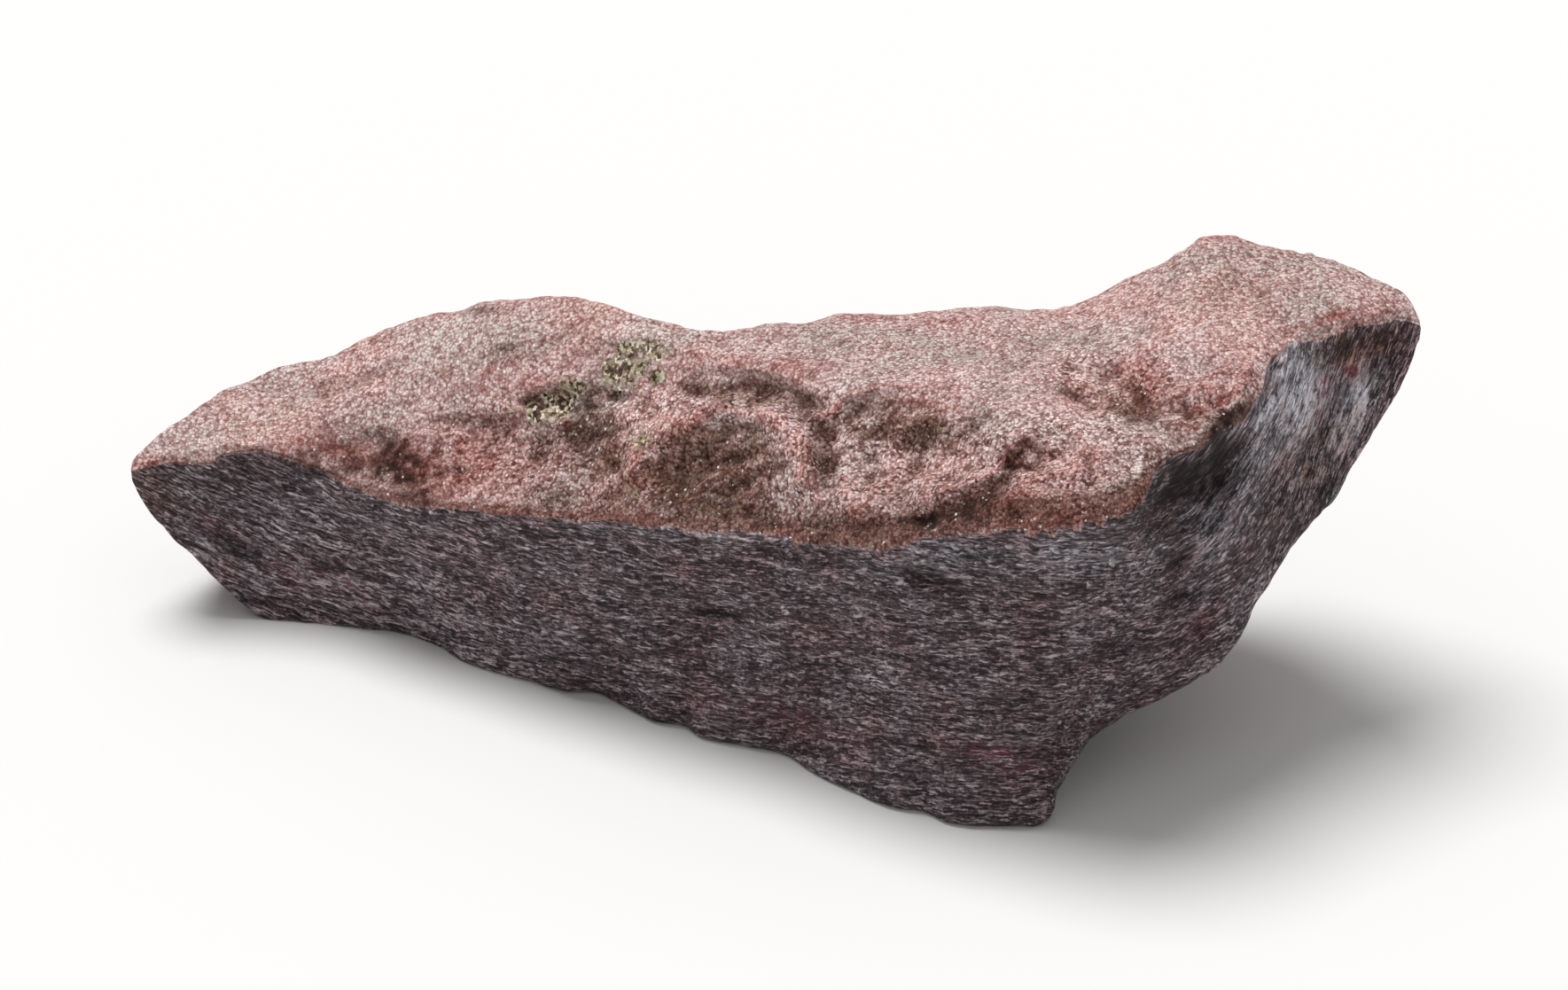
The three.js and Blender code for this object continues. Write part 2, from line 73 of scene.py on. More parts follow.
# The near edges: (x, sighted, height). Sighted is how far up the edge stands in a view 30 degrees
# above the level, from the stone's lowest point; height is above the bed.
FOOT: Points = (
    (-68.8, 36.5, 15.5), (-67.7, 34.5, 13.2), (-65.8, 32.3, 11), (-63.9, 30.5, 9.2),
    (-60.1, 26.9, 5.3), (-57.5, 24.2, 2.4), (-56.3, 23.1, 1.2), (-54.4, 22.2, 0.3),
    (-51.5, 21.7, 0), (-48.7, 21.5, 0), (-44.9, 21, 0), (-39.2, 20.4, 0), (-36.5, 19.3, 0),
    (-33.5, 17.7, 0), (-29.7, 16.4, 0), (-25.9, 15.3, 0), (-22.1, 14.1, 0), (-19.5, 14.2, 0),
    (-16.4, 12.8, 0), (-13, 11, 0), (-10, 10.6, 0), (-8, 9.4, 0), (-3.1, 8.7, 0), (1.5, 7.7, 0),
    (3.5, 6.3, 0), (8.3, 3.8, 0), (13.5, 2, 0), (15.9, 1.8, 0), (18.5, 0.7, 0), (22.5, 0.1, 0),
    (27.5, 0, 0), (29, 0.5, 0.4), (29.9, 1.8, 1.6), (30.3, 3.4, 3), (31.3, 5.7, 4.8),
    (33, 8.5, 7), (35, 10.5, 8.2), (36.8, 11.7, 9), (40.6, 13.6, 10.5), (44.4, 15.6, 12),
    (48.2, 18.4, 14), (50.1, 20.6, 15.6), (51.3, 23.4, 17.8), (53.9, 27.9, 21.5),
    (57.7, 33.3, 26.5), (59.5, 35, 28.3), (61.5, 38.1, 31), (65.3, 44.4, 37), (67.2, 47.6, 40),
    (68.2, 49.9, 42), (68.8, 51.7, 43.8),
)
FACE: Points = (
    (-68.8, 37.2, 16.4), (-63.9, 34.8, 14), (-56, 31.5, 10.5), (-45, 28.5, 9.5),
    (-35, 26.2, 10.1), (-25, 24, 11.3), (-15, 22.2, 12.5), (-5, 20.2, 13.8), (5, 17.6, 14.8),
    (15, 16.1, 16.7), (25, 15.8, 18.4), (30, 17, 19.8), (35, 21.7, 24.4), (40, 25, 26.2),
    (45, 28.1, 27.4), (50, 32, 29.4), (55, 40.2, 34.9), (60, 44.2, 37.9), (65, 48.9, 41.6),
    (68.8, 52.8, 44.8),
)
BROW: Points = (
    (-68.8, 37.9, 17.5), (-67.5, 38.5, 18.3), (-63.9, 38.8, 18.8), (-60.6, 38.7, 19),
    (-58.8, 39.7, 19.8), (-56, 40, 20.2), (-53, 39.6, 20.3), (-50.3, 38.5, 20),
    (-46.8, 36.9, 19.6), (-43, 35.3, 19.5), (-38.2, 34.1, 20), (-33.5, 33.6, 21),
    (-25.9, 33, 23), (-16.4, 32.5, 25.5), (-8, 31.7, 27.8), (-1.2, 31.2, 29.3), (3.5, 30, 30.2),
    (10.2, 29.6, 32), (15.9, 30.5, 34.6), (21.6, 31.5, 37), (27.3, 31.7, 38.5), (33, 32.6, 39.7),
    (36.8, 33.3, 40.3), (39.2, 35, 41.2), (40.3, 37.4, 42), (41.6, 38.7, 42.6), (45.4, 40.4, 43),
    (47.5, 41.6, 43.2), (50, 43.6, 43.8), (51.6, 45.6, 44.6), (52.6, 47.8, 45.1),
    (54.2, 49.7, 46.2), (57.7, 51.8, 47.1), (60.6, 52.9, 47.1), (64.4, 53.7, 46.7),
    (67.2, 54.3, 46.2), (68.8, 53.8, 45.6),
)
LIP: Points = (
    (-68.8, 38.2, 17.9), (-63.9, 39.4, 19.4), (-58.8, 40.2, 20.4), (-54, 40.5, 21),
    (-50.3, 40, 21.3), (-45, 38.6, 21.3), (-40, 37.2, 21.9), (-35, 36, 22.4), (-30, 35.5, 23.4),
    (-20, 34.8, 25.8), (-10, 34.2, 29), (0, 34, 31.8), (5, 34.2, 34.2), (10, 34.4, 36),
    (15, 34.8, 37.8), (20, 35.8, 40.2), (25, 36.6, 41.7), (30, 36, 42.1), (35, 36.4, 42.5),
    (38.2, 37.4, 42.9), (40.3, 38.9, 43.2), (42, 39.7, 43.4), (45.4, 41.3, 43.8),
    (50, 44.4, 44.6), (51.8, 46.5, 45.4), (53.2, 50, 46.9), (57.7, 52.4, 47.6),
    (62.5, 53.9, 47.5), (67.2, 54.8, 46.7), (68.8, 54.1, 45.9),
)
RIM: Points = (
    (-68.8, 38.6, 18.2), (-63.9, 40.2, 20), (-59.1, 40.8, 20.9), (-54.4, 41.2, 21.6),
    (-49.6, 41.8, 22.6), (-44.9, 43, 24), (-40.1, 43.8, 25.6), (-35.4, 44.8, 27.7),
    (-29.7, 46, 30.4), (-24, 48, 33.4), (-18.3, 50.3, 36.5), (-12.6, 50.5, 38.8),
    (-7.8, 49.8, 40), (-1.2, 49, 41), (5.5, 47.3, 42), (12.1, 46.5, 43), (17.8, 46, 43.8),
    (22.6, 45, 44.4), (27.3, 43.2, 44.5), (31.1, 42, 44.4), (35.9, 41.2, 44.4),
    (39.7, 40.8, 44.2), (42.4, 41.2, 44.3), (45.4, 42.6, 44.7), (49.2, 44.8, 45.2),
    (51.3, 47, 46), (53.2, 51.4, 47.8), (57.7, 53.2, 48.4), (62.5, 54.6, 48.2),
    (67.2, 55.4, 47.1), (68.8, 54.4, 46.1),
)
BENCH: Points = (
    (-68.8, 39.1, 18.5), (-60.1, 43.5, 22), (-52.5, 45.5, 23.8), (-44.9, 47.5, 26.4),
    (-37.3, 49.5, 29.8), (-29.7, 51.2, 33.7), (-22.1, 53.2, 37.3), (-14.5, 52.8, 39.7),
    (-5.9, 51.4, 40.6), (6.4, 50.8, 42.3), (17.8, 50.5, 43.6), (27.3, 49.5, 44.4),
    (31.1, 49, 44.8), (36.8, 49.8, 46.2), (42.5, 51, 47.7), (48.2, 52, 48.6), (53.9, 54.2, 49),
    (59.6, 56.2, 49.2), (64.4, 57, 48.5), (67.2, 56.2, 47.4), (68.8, 54.8, 46.2),
)
CREST: Points = (
    (-68.8, 39.6, 18.7), (-67.7, 40.6, 19.5), (-65.8, 42.2, 20.5), (-63.9, 43.4, 21.5),
    (-60.1, 46.3, 22.8), (-56.3, 48.1, 23.8), (-52.5, 49.6, 25), (-48.7, 50.2, 26),
    (-44.9, 51.9, 28), (-41.1, 53.3, 30), (-37.3, 54.6, 32), (-33, 55.1, 33.9),
    (-31.8, 55.9, 34.7), (-27.8, 56.2, 36.5), (-22.6, 56.8, 38.4), (-18.3, 56, 39.5),
    (-14.5, 54.8, 40), (-10.7, 53.9, 40.2), (-7, 53.1, 40.4), (-4, 53.2, 40.7),
    (0.7, 53.8, 41.5), (2.5, 53.6, 41.7), (6.4, 54.6, 42.1), (12.1, 54.7, 42.6),
    (17.8, 55.1, 43), (23.5, 55.5, 43.5), (27.3, 55, 43.5), (31.1, 55.4, 44), (34.9, 56.8, 45),
    (38.7, 58.5, 46.5), (42.5, 60.6, 48.5), (44.4, 61.8, 49.5), (46.3, 62.9, 50.3),
    (48.5, 63, 50.4), (52, 62.1, 50), (55.8, 61.4, 49.7), (59.6, 60.7, 49.3), (63.4, 59.1, 48.4),
    (66, 58, 47.8), (67.7, 56.8, 47.1), (68.8, 54.9, 46.1),
)
# The far edges and the underside: (x, y, height).
SHOULDER: Points = (
    (-68.8, 47.5, 18), (-65, 51.5, 18.6), (-58, 57.5, 19.5), (-45, 59.5, 23), (-37, 58.5, 27.5),
    (-29, 56, 31), (-22, 53, 33.5), (-13, 47.5, 34.5), (-5, 43, 34), (5, 41.5, 36),
    (14, 41.5, 37), (23.5, 41.5, 38), (31, 40.5, 38.5), (38.7, 42.5, 41.5), (46.5, 44, 44.6),
    (53, 43, 44.8), (59.6, 40.5, 45), (65, 36, 45.2), (68.8, 29.8, 45.6),
)
BACK: Points = (
    (-68.8, 47.4, 17), (-65, 52, 14), (-58, 58.5, 11), (-45, 63, 12.5), (-37, 62.5, 11),
    (-29, 60, 14), (-22, 60.5, 18), (-13, 57.5, 17), (-5, 52.5, 15), (5, 51, 19), (14, 52.5, 22),
    (23.5, 50, 19), (31, 47.5, 20), (38.7, 48.5, 25), (46.5, 49.5, 31), (53, 46.5, 32),
    (59.6, 42, 36.5), (65, 35.5, 40.5), (68.8, 29.6, 44.6),
)
HEEL: Points = (
    (-68.8, 46.8, 16.4), (-65, 50, 9.5), (-60, 54, 3), (-56.5, 55.5, 0), (-45, 60, 0),
    (-37, 61.5, 0), (-29, 57.5, 0), (-20, 58.5, 0), (-12, 55.5, 0), (-3, 50.5, 0), (6, 51, 0),
    (15, 52.5, 0), (23.5, 49, 0), (31, 46.5, 0), (35, 45.5, 1), (41, 45, 6), (47, 43.5, 13),
    (54, 40, 21.5), (61, 35, 32), (65, 32, 38), (68.8, 29.3, 44),
)
SOLE: Points = (
    (-68.8, 46.4, 15.8), (-65, 47.5, 9.5), (-60, 49, 3), (-56.5, 48.5, 0), (-45, 50, 0),
    (-33, 47, 0), (-22, 43, 0), (-10, 37, 0), (0.7, 33, 0), (12, 28, 0), (23.5, 25, 0),
    (31, 24, 0), (35, 25, 2), (41, 26.5, 6), (47, 27, 10.5), (54, 27.5, 18), (61, 28.5, 28.5),
    (65, 28.8, 35.5), (68.8, 28.9, 43.7),
)
# The course of the stone's lineation, (x, sighted), from the left tip down and up the knob.
LINEATION: Points = (
    (-69, 0), (-55, -6.8), (-45, -10.3), (-35, -12.8), (-25, -15.1), (-15, -17), (-5, -18.4),
    (5, -19.4), (15, -20.4), (25, -21.2), (35, -21.3), (41, -20.5), (45, -18.5), (50, -13.5),
    (55, -4.8), (60, 8.3), (69, 27),
)


def smoothstep(value: Array, low: float, high: float) -> Array:
    """Rises smoothly from 0 where the value is low to 1 where it is high: 3 t^2 - 2 t^3."""
    t = np.clip((value - low) / (high - low), 0, 1)
    return t * t * (3 - 2 * t)


def curve_through(points: Points, axis: int, x: Array) -> Array:
    """A smooth curve through given points that never swings past them.

    Between each pair runs a cubic p + s (m + s (3 (q - p) - 2 m - n + s (m + n - 2 (q - p)))) from
    p to q with end slopes m and n, each held to twice the smaller slope beside it.

    Args:
        points: rows that start with x, in rising order.
        axis: the column that is read.
        x: where the curve is read; it stays level past both ends.

    Returns:
        The curve's value at each x.
    """
    table = np.array(points, dtype=float)
    places, values = table[:, 0], table[:, axis]
    gap = np.diff(places)
    rise = np.diff(values) / gap
    before, after = rise[:-1], rise[1:]
    even = (before * gap[1:] + after * gap[:-1]) / (gap[1:] + gap[:-1])
    held = np.minimum(2 * np.minimum(abs(before), abs(after)), abs(even)) * np.sign(before)
    slope = np.concatenate([rise[:1], np.where(before * after > 0, held, 0), rise[-1:]])
    at = np.clip(x, places[0], places[-1])
    i = np.clip(np.searchsorted(places, at) - 1, 0, len(gap) - 1)
    s = (at - places[i]) / gap[i]
    p, q = values[i], values[i + 1]
    m, n = slope[i] * gap[i], slope[i + 1] * gap[i]
    return p + s * (m + s * (3 * (q - p) - 2 * m - n + s * (m + n - 2 * (q - p))))


def lattice(place: Array, seed: int) -> Array:
    """A number from -1 to 1 for each whole-number place, the same every time.

    Args:
        place: whole numbers, (..., 3).
        seed: picks one of many such fields.

    Returns:
        The numbers, (...).
    """
    i, j, k = (place[..., axis].astype(np.int64).astype(np.uint32) for axis in range(3))
    seeded = np.uint32(seed * 974634777 & 0xFFFFFFFF)
    h = i * np.uint32(374761393) ^ j * np.uint32(668265263) ^ k * np.uint32(1103515245) ^ seeded
    h = (h ^ (h >> np.uint32(13))) * np.uint32(1274126177)
    h = (h ^ (h >> np.uint32(15))) * np.uint32(461845907)
    return (h ^ (h >> np.uint32(16))) / 2147483647.5 - 1


def unevenness(place: Array, seed: int) -> Array:
    """Smooth unevenness: lattice numbers blended between places by t^3 (t (6 t - 15) + 10).

    Args:
        place: where it is read, in lattice steps, (..., 3).
        seed: picks one of many such fields.

    Returns:
        Heights from -1 to 1, (...).
    """
    base = np.floor(place)
    t = place - base
    blend = t**3 * (t * (6 * t - 15) + 10)
    total = np.zeros(place.shape[:-1])
    for corner in range(8):
        bits = np.array([corner & 1, corner >> 1 & 1, corner >> 2])
        total += np.prod(np.where(bits, blend, 1 - blend), axis=-1) * lattice(base + bits, seed)
    return total


def octaves(place: Array, rows: Points, seed: int) -> Array:
    """Sums rows of unevenness, each of a spacing, for all axes or for each, and a height."""
    return sum(size * unevenness(place / gap, seed + i) for i, (*gap, size) in enumerate(rows))


@dataclass(frozen=True)
class Oval:
    """One hollow, rib or stain: an ellipse about (x, height), turned by degrees from the level.

    reach is half its length, up and down are its half heights on either side of the deepest place,
    and amount is a hollow's depth or a stain's strength. A negative depth is a rib or a lump.
    """

    x: float
    height: float
    reach: float
    up: float
    down: float
    turn: float
    amount: float

    def amount_at(self, x: Array, height: Array, power: float) -> Array:
        """The amount times (1 - r^2)^power, where r is 0 in the middle and 1 at the ellipse's edge.

        Args:
            x: places along the stone.
            height: places across, as sighted or as a height above the bed.
            power: 1 leaves a sharp edge all round, 1.5 and more a soft one.

        Returns:
            The amount at each place.
        """
        turn = math.radians(self.turn)
        dx, dh = x - self.x, height - self.height
        along = (dx * math.cos(turn) + dh * math.sin(turn)) / self.reach
        side = dh * math.cos(turn) - dx * math.sin(turn)
        across = side / np.where(side > 0, self.up, self.down)
        return self.amount * np.maximum(0, 1 - along**2 - across**2) ** power


def ovals(*rows: tuple[float, ...]) -> tuple[Oval, ...]:
    """Makes an oval of each row; a row of six numbers has one half height for both its sides."""
    return tuple(Oval(*row) if len(row) == 7 else Oval(*row[:4], *row[3:]) for row in rows)


@dataclass(frozen=True)
class Crease:
    """A long groove along a path of (x, height) points; a negative amount is a rib."""

    half: float
    amount: float
    path: Points

    def amount_at(self, x: Array, height: Array, power: float) -> Array:
        """The amount times (1 - (d / half)^2)^power, where d is the distance from the path.

        Args:
            x: places along the stone.
            height: places across, as sighted.
            power: 1 leaves a sharp edge on both sides, 1.5 and more a soft one.

        Returns:
            The amount at each place.
        """
        place = np.stack([x, height], -1)
        nearest = np.full(np.shape(x), np.inf)
        from_end = np.minimum(*(np.linalg.norm(place - self.path[end], axis=-1) for end in (0, -1)))
        for start, end in zip(self.path, self.path[1:]):
            run = np.subtract(end, start)
            part = np.clip((place - start) @ run / (run @ run), 0, 1)[..., None]
            nearest = np.minimum(nearest, np.linalg.norm(place - start - part * run, axis=-1))
        fade = smoothstep(from_end, 0, END_FADE * self.half)
        return self.amount * fade * np.maximum(0, 1 - (nearest / self.half) ** 2) ** power


Mark = Oval | Crease


def sum_of(marks: tuple[Mark, ...], x: Array, height: Array, power: float = CRISPNESS) -> Array:
    """The summed amounts of several marks at each place."""
    return sum((mark.amount_at(x, height, power) for mark in marks), np.zeros(np.shape(x)))


HOLLOWS = ovals(
    (-6, 35.3, 9, 7, 6, 4, 3),  # wide scar
    (14.3, 39.2, 9.8, 6.3, 5.6, -5, 3.8),  # right scar
    (-22.5, 45.6, 6, 2, 1.8, 8, 1.5),  # overgrown hollow under the summit
    (-17, 48, 4.5, 2.2, 1.8, 30, 0.9),
    (-27, 41.3, 7.5, 3.2, 4.2, -8, 1.6),  # brown slope on the left
    (-40, 37.6, 4.6, 2.6, 2.6, -62, 1),  # dent above the brow
    (-42.5, 41.6, 3, 1.4, 1.4, 10, 0.6),
    (-34.3, 43.4, 5, 1.2, 1.2, 8, 0.7),
    (-45, 47.6, 9, 1.3, 1.3, 14, 0.5),  # valley in the left slope
    (27, 38.8, 3.4, 2.2, 2, 20, 1.2),  # pit in the front of the tongue
    (27, 35, 3, 1.6, 2, 10, -0.6),
    (37.5, 46.6, 7.6, 3.4, 2.8, -14, 1.9),  # broken pocket
    (41.3, 46.8, 3.2, 1.7, 1.7, -30, -0.5),
    (48.3, 47.2, 4.8, 2.6, 2.6, 30, -0.8),  # lump in front of the knob
    (45.8, 36.6, 8.4, 4.2, 5.4, 32, 4.2),  # cave under the right brow
    (62.4, 49.8, 5.6, 2.4, 2.8, 8, 1.1),  # hollow under the knob's brow
    (43.3, 28.8, 2, 1.4, 1.4, 25, 1),  # pits on the right corner
    (43.4, 25, 2.8, 1.2, 1.2, 42, 0.9),
)
# Long ribs and grooves of the near side, along paths of (x, sighted) points.
CREASES = (
    # rib round the wide scar
    Crease(1.9, -1.2, (
        (-13.5, 40.5), (-10.5, 43), (-6, 44.9), (-1.5, 44.4), (2, 41.6), (3.6, 37.5), (3.8, 34),
    )),
    # groove outside it
    Crease(2.1, 1.5, (
        (-13, 47.2), (-6, 47.2), (0, 46.6), (4.2, 44.2), (6.2, 41), (6.3, 36.5), (8.5, 33.3),
    )),
    # gully
    Crease(2.2, 1.5, ((-20.5, 43.6), (-19.5, 40), (-17.5, 36.5))),
    # grainy strip beside it
    Crease(1.3, -0.7, ((-16, 43), (-14.8, 40), (-15.5, 37), (-14, 35))),
    # slanting groove
    Crease(1.7, 2, ((11, 33.2), (15.5, 33), (20, 34.4), (23.5, 36.4), (27.5, 39.5))),
    # upper edge of the right scar
    Crease(1.7, 1.4, (
        (5.5, 41.5), (8.5, 44.4), (13, 45.3), (18, 45.1), (21.8, 43.9), (24.3, 41.3),
    )),
    # step above the tongue
    Crease(1.1, 1, ((29.5, 46.3), (33, 45.2), (37, 43.8), (41, 42.3), (45, 41.4))),
    # arris of the right face
    Crease(2.4, -1.6, (
        (56.5, 50.5), (54.5, 46.5), (53, 42.5), (51, 38), (48, 33.5), (45.5, 29.5),
    )),
    # groove beside it
    Crease(2.2, 1.1, ((60.5, 49.6), (58.5, 46), (57, 41.5), (54.5, 36))),
    Crease(1.5, -0.6, ((64.5, 50.2), (62.5, 46), (60, 41.5))),
)
# Shallow marks too small for the solid: dark lenses in the near face, nicks above it.
FINE_MARKS = ovals(
    (1.2, 29.1, 3.4, 0.9, 0.9, -8, 0.8), (16.3, 26.1, 3.2, 1.1, 0.9, -16, 0.9),
    (-6.8, 22.9, 2.4, 0.8, 0.7, -8, 0.7), (-15.8, 24.1, 1.8, 0.8, 0.7, 0, 0.6),
    (12.8, 22.4, 2.8, 0.7, 0.7, -8, 0.5), (24, 23.7, 3.4, 0.7, 0.7, -4, 0.5),
    (37, 19.1, 2.4, 0.8, 0.7, 4, 0.6), (42.3, 18.7, 2.4, 0.8, 0.7, 6, 0.6),
    (-40.5, 24, 3.2, 0.9, 0.8, -16, 0.6), (-48, 27.7, 3, 0.8, 0.7, -22, 0.6),
    (-57.5, 30.3, 3, 1, 0.9, -26, 0.6), (30.5, 9.3, 2.6, 0.9, 0.8, -40, 0.8),
    (26.5, 8.2, 1.8, 0.6, 0.6, -12, 0.5), (4.5, 18.2, 4, 0.9, 0.9, -6, 0.5),
    (45.8, 22, 2.2, 0.8, 0.7, 60, 0.6), (52.5, 43.6, 3, 0.8, 0.8, 38, 0.7),
    (-35, 38, 2.8, 0.9, 0.8, 5, 0.6), (-28.5, 50.8, 2.6, 0.8, 0.7, 10, 0.5),
    (31.6, 45.7, 2.4, 0.8, 0.7, -12, 0.7), (-16.6, 46, 1.8, 1, 0.9, 0, 0.9),
    (-12.8, 47.8, 1.5, 0.9, 0.8, 0, 0.8), (-25.5, 46.2, 2.6, 0.9, 0.9, 20, 0.8),
    (28, 47.2, 1.2, 0.5, 0.5, -10, 0.4), (-57.5, 40.4, 2.4, 0.7, 0.8, 0, 0.5),
)
# Where the near side is freshly broken and rough, and not worn smooth.
BROKEN_GROUND = ovals(
    (-5, 40, 34, 8, 12, -3, 2), (27, 38.5, 20, 5.5, 10, 0, 2), (38.5, 46.5, 11, 4.5, 4, -15, 1.6),
    (49, 46, 6, 3, 3, 30, 1),
)
# Broad scars on the far side, placed by x and height and pressed in along Y.
FAR_SCARS = ovals(
    (-41, 17, 15, 9, 12, 12, 3), (-12, 24, 14, 8, 15, -18, 3.4), (14, 14, 12, 12, 12, 25, 3.2),
    (36, 29, 13, 9, 14, -12, 3.6), (57, 37, 8, 6, 8, -30, 2),
)
# The brown band between the knob's brow and the cave under it.
UNDERCUT = ovals(
    (48.6, 43, 5.5, 1.7, 1.7, 37, 2),
)


class Line(Enum):
    """The edge lines in order round the section; the value is the girth at which each one lies."""

    FOOT = 0
    FACE = 1
    BROW = 2
    LIP = 3
    RIM = 4
    BENCH = 5
    CREST = 6
    SHOULDER = 7
    BACK = 8
    HEEL = 9
    SOLE = 10


@dataclass(frozen=True)
class StoneForm:
    """The stone's shape as a function of x and girth, which counts edge lines round the section.

    A pair of numbers is a stretch, of girth or of x, over which something comes in or fades out.
    Unevenness is given in rows of (spacing, height), or of (along, across, through, height) where
    it follows the lineation.
    """

    left_end: float = -69.2
    right_end: float = 69.2
    left_tip: Span = (46.2, 17.5)
    right_tip: Span = (28.6, 45)
    tip_rounding: float = 0.7
    sight_degrees: float = 30
    near: tuple[Points, ...] = (FOOT, FACE, BROW, LIP, RIM, BENCH, CREST)
    far: tuple[Points, ...] = (SHOULDER, BACK, HEEL, SOLE)
    rounding: tuple[float, ...] = (0.14, 0.4, 0.1, 0.25, 0.2, 0.4, 0.25, 0.2, 0.25, 0.14, 0.4)
    # The length of the short step along the skin that finds its direction; round it, a quarter.
    step: float = 0.4
    weathering: Points = ((17, 0.55), (8.5, 0.38), (4.3, 0.24))
    bedding: Points = ((15, 2.6, 9, 0.35),)
    # The shares of the weathering that are left at the outline, at the tips and under the sole,
    # and how far from each the rest of it comes back; then how the sole is pressed to the bed.
    outline_share: float = 0.3
    outline_calm: float = 0.5
    tip_share: float = 0.15
    tip_fade: float = 14
    sole_share: float = 0.35
    sole_calm: Span = (8.6, 9.1)
    sole_clearance: float = 0.2
    sole_edge: float = 0.4
    # The finer relief: grit all over, and ridges along the lineation of the unweathered faces.
    grit: Points = ((2.6, 0.17), (1.3, 0.12), (0.8, 0.09))
    ridges: Points = ((8, 1.15, 5, 0.17), (4.2, 0.7, 2.5, 0.1))
    # Small shell-shaped scallops where the stone is freshly broken, and fewer in a belt of girth
    # along its broken edge.
    scallops: Points = ((5.2, 0.75), (2.4, 0.4))
    scallop_level: float = 0.3
    broken_edge: tuple[Span, Span] = ((1.6, 2), (2.9, 3.9))
    edge_share: float = 0.7
    # The share of the grit that worn ground has, what the dark faces lose of grit and scallops,
    # and the share of all of it that is left at the tips.
    worn_grit: float = 0.8
    face_loses_grit: float = 0.4
    face_loses_scallops: float = 0.6
    fine_tip_share: float = 0.3
    fine_tip_fade: float = 4
    # How far hollows fade in from the foot and the crest, and scars from the crest and the heel.
    near_fades: Span = (0.3, 0.4)
    far_fades: Span = (0.6, 0.3)
    # The lineation's course: half the stretch of x it is counted over, and in what steps; then
    # the corner where the right face turns from the eye, and the streak that stays in place there.
    course_half: float = 70
    course_step: float = 0.1
    corner: Span = (42, 58)
    middle_streak: float = 48
    slant_share: float = 0.5
    # The ragged ends of the dark skin at the brow and behind the shoulder, and the wisps of it
    # that hang over the brow at the right corner.
    brow_edge: Span = (1.86, 2.14)
    brow_rag: Points = ((3.1, 0.04), (1.2, 0.05))
    shoulder_edge: Span = (7.2, 7.7)
    shoulder_rag: Points = ((9, 0.35), (3, 0.15))
    hanging: tuple[Span, Span] = ((50.5, 53.5), (55.5, 58))
    hanging_wisp: tuple[float, float, float] = (4, 0.7, 3)
    hanging_reach: Span = (0.65, 0.8)
    hanging_blur: float = 1.2

    @property
    def lines(self) -> int:
        """How many edge lines run round the stone."""
        return len(self.rounding)

    @property
    def slant(self) -> Span:
        """The cosine and the sine of the angle at which the eye looks down."""
        angle = math.radians(self.sight_degrees)
        return math.cos(angle), math.sin(angle)

    def sight(self, point: Array) -> tuple[Array, Array]:
        """How high points are sighted, y sin e + z cos e, and how far beyond, y cos e - z sin e."""
        (up, away), y, z = self.slant, point[..., 1], point[..., 2]
        return y * away + z * up, y * up - z * away

    def from_tip(self, x: Array) -> Array:
        """How far places along the stone are from its nearer tip."""
        return np.minimum(x - self.left_end, self.right_end - x)

    def bend(self, ring: Array) -> Array:
        """How sharply a ring of corners turns at each one: its second difference."""
        return np.roll(ring, -1, -2) - 2 * ring + np.roll(ring, 1, -2)

    def corners(self, x: Array) -> Array:
        """The corners of each cross section, moved out so that the rounded skin meets its edges.

        Args:
            x: the sections' places.

        Returns:
            (..., lines, 2): y and height of each corner.
        """
        up, away = self.slant
        ring = []
        for points in self.near:
            sighted, height = curve_through(points, 1, x), curve_through(points, 2, x)
            ring.append(np.stack([(sighted - height * up) / away, height], -1))
        for points in self.far:
            ring.append(np.stack([curve_through(points, 1, x), curve_through(points, 2, x)], -1))
        corners = np.stack(ring, -2)
        return corners - self.bend(corners) * np.array(self.rounding)[:, None] / 4

    def bare(self, x: Array, girth: Array) -> Array:
        """The bare form: straight flanks between corners, each corner rounded by a parabola.

        Near corner k the flanks are lifted by bend (w - d)^2 / (4 w), where d is the distance in
        girth, w the corner's rounding and bend its second difference. Over the last stretch of
        each end the section shrinks to the tip by sqrt(1 - (1 - d)^2).

        Args:
            x: places along the stone, (n,).
            girth: places round the section, (n,).

        Returns:
            Points, (n, 3).
        """
        ring = self.corners(x)
        bend = self.bend(ring)
        turn = np.mod(girth, self.lines)
        k = np.floor(turn).astype(int) % self.lines
        after = (k + 1) % self.lines
        part = (turn - np.floor(turn))[:, None]
        rows = np.arange(len(x))
        section = ring[rows, k] * (1 - part) + ring[rows, after] * part
        for corner, distance in ((k, part), (after, 1 - part)):
            w = np.array(self.rounding)[corner][:, None]
            lift = np.where(distance < w, (w - distance) ** 2 / (4 * w), 0)
            section = section + bend[rows, corner] * lift
        left = (x < 0)[:, None]
        reach = np.clip(self.from_tip(x) / self.tip_rounding, 0, 1)
        share = np.sqrt(1 - (1 - reach) ** 2)[:, None]
        tip = np.where(left, self.left_tip, self.right_tip)
        return np.concatenate([x[:, None], tip + (section - tip) * share], 1)

    def outward(self, x: Array, girth: Array) -> Array:
        """The bare form's outward direction: the cross product of two short steps along the skin.

        Args:
            x: places along the stone, (n,).
            girth: places round the section, (n,).

        Returns:
            Directions of length one, (n, 3).
        """
        step, turn = self.step, self.step / 4
        middle = np.clip(x, self.left_end + step, self.right_end - step)
        along = self.bare(middle + step, girth) - self.bare(middle - step, girth)
        around = self.bare(middle, girth + turn) - self.bare(middle, girth - turn)
        normal = np.cross(along, around)
        return normal / np.linalg.norm(normal, axis=1, keepdims=True)

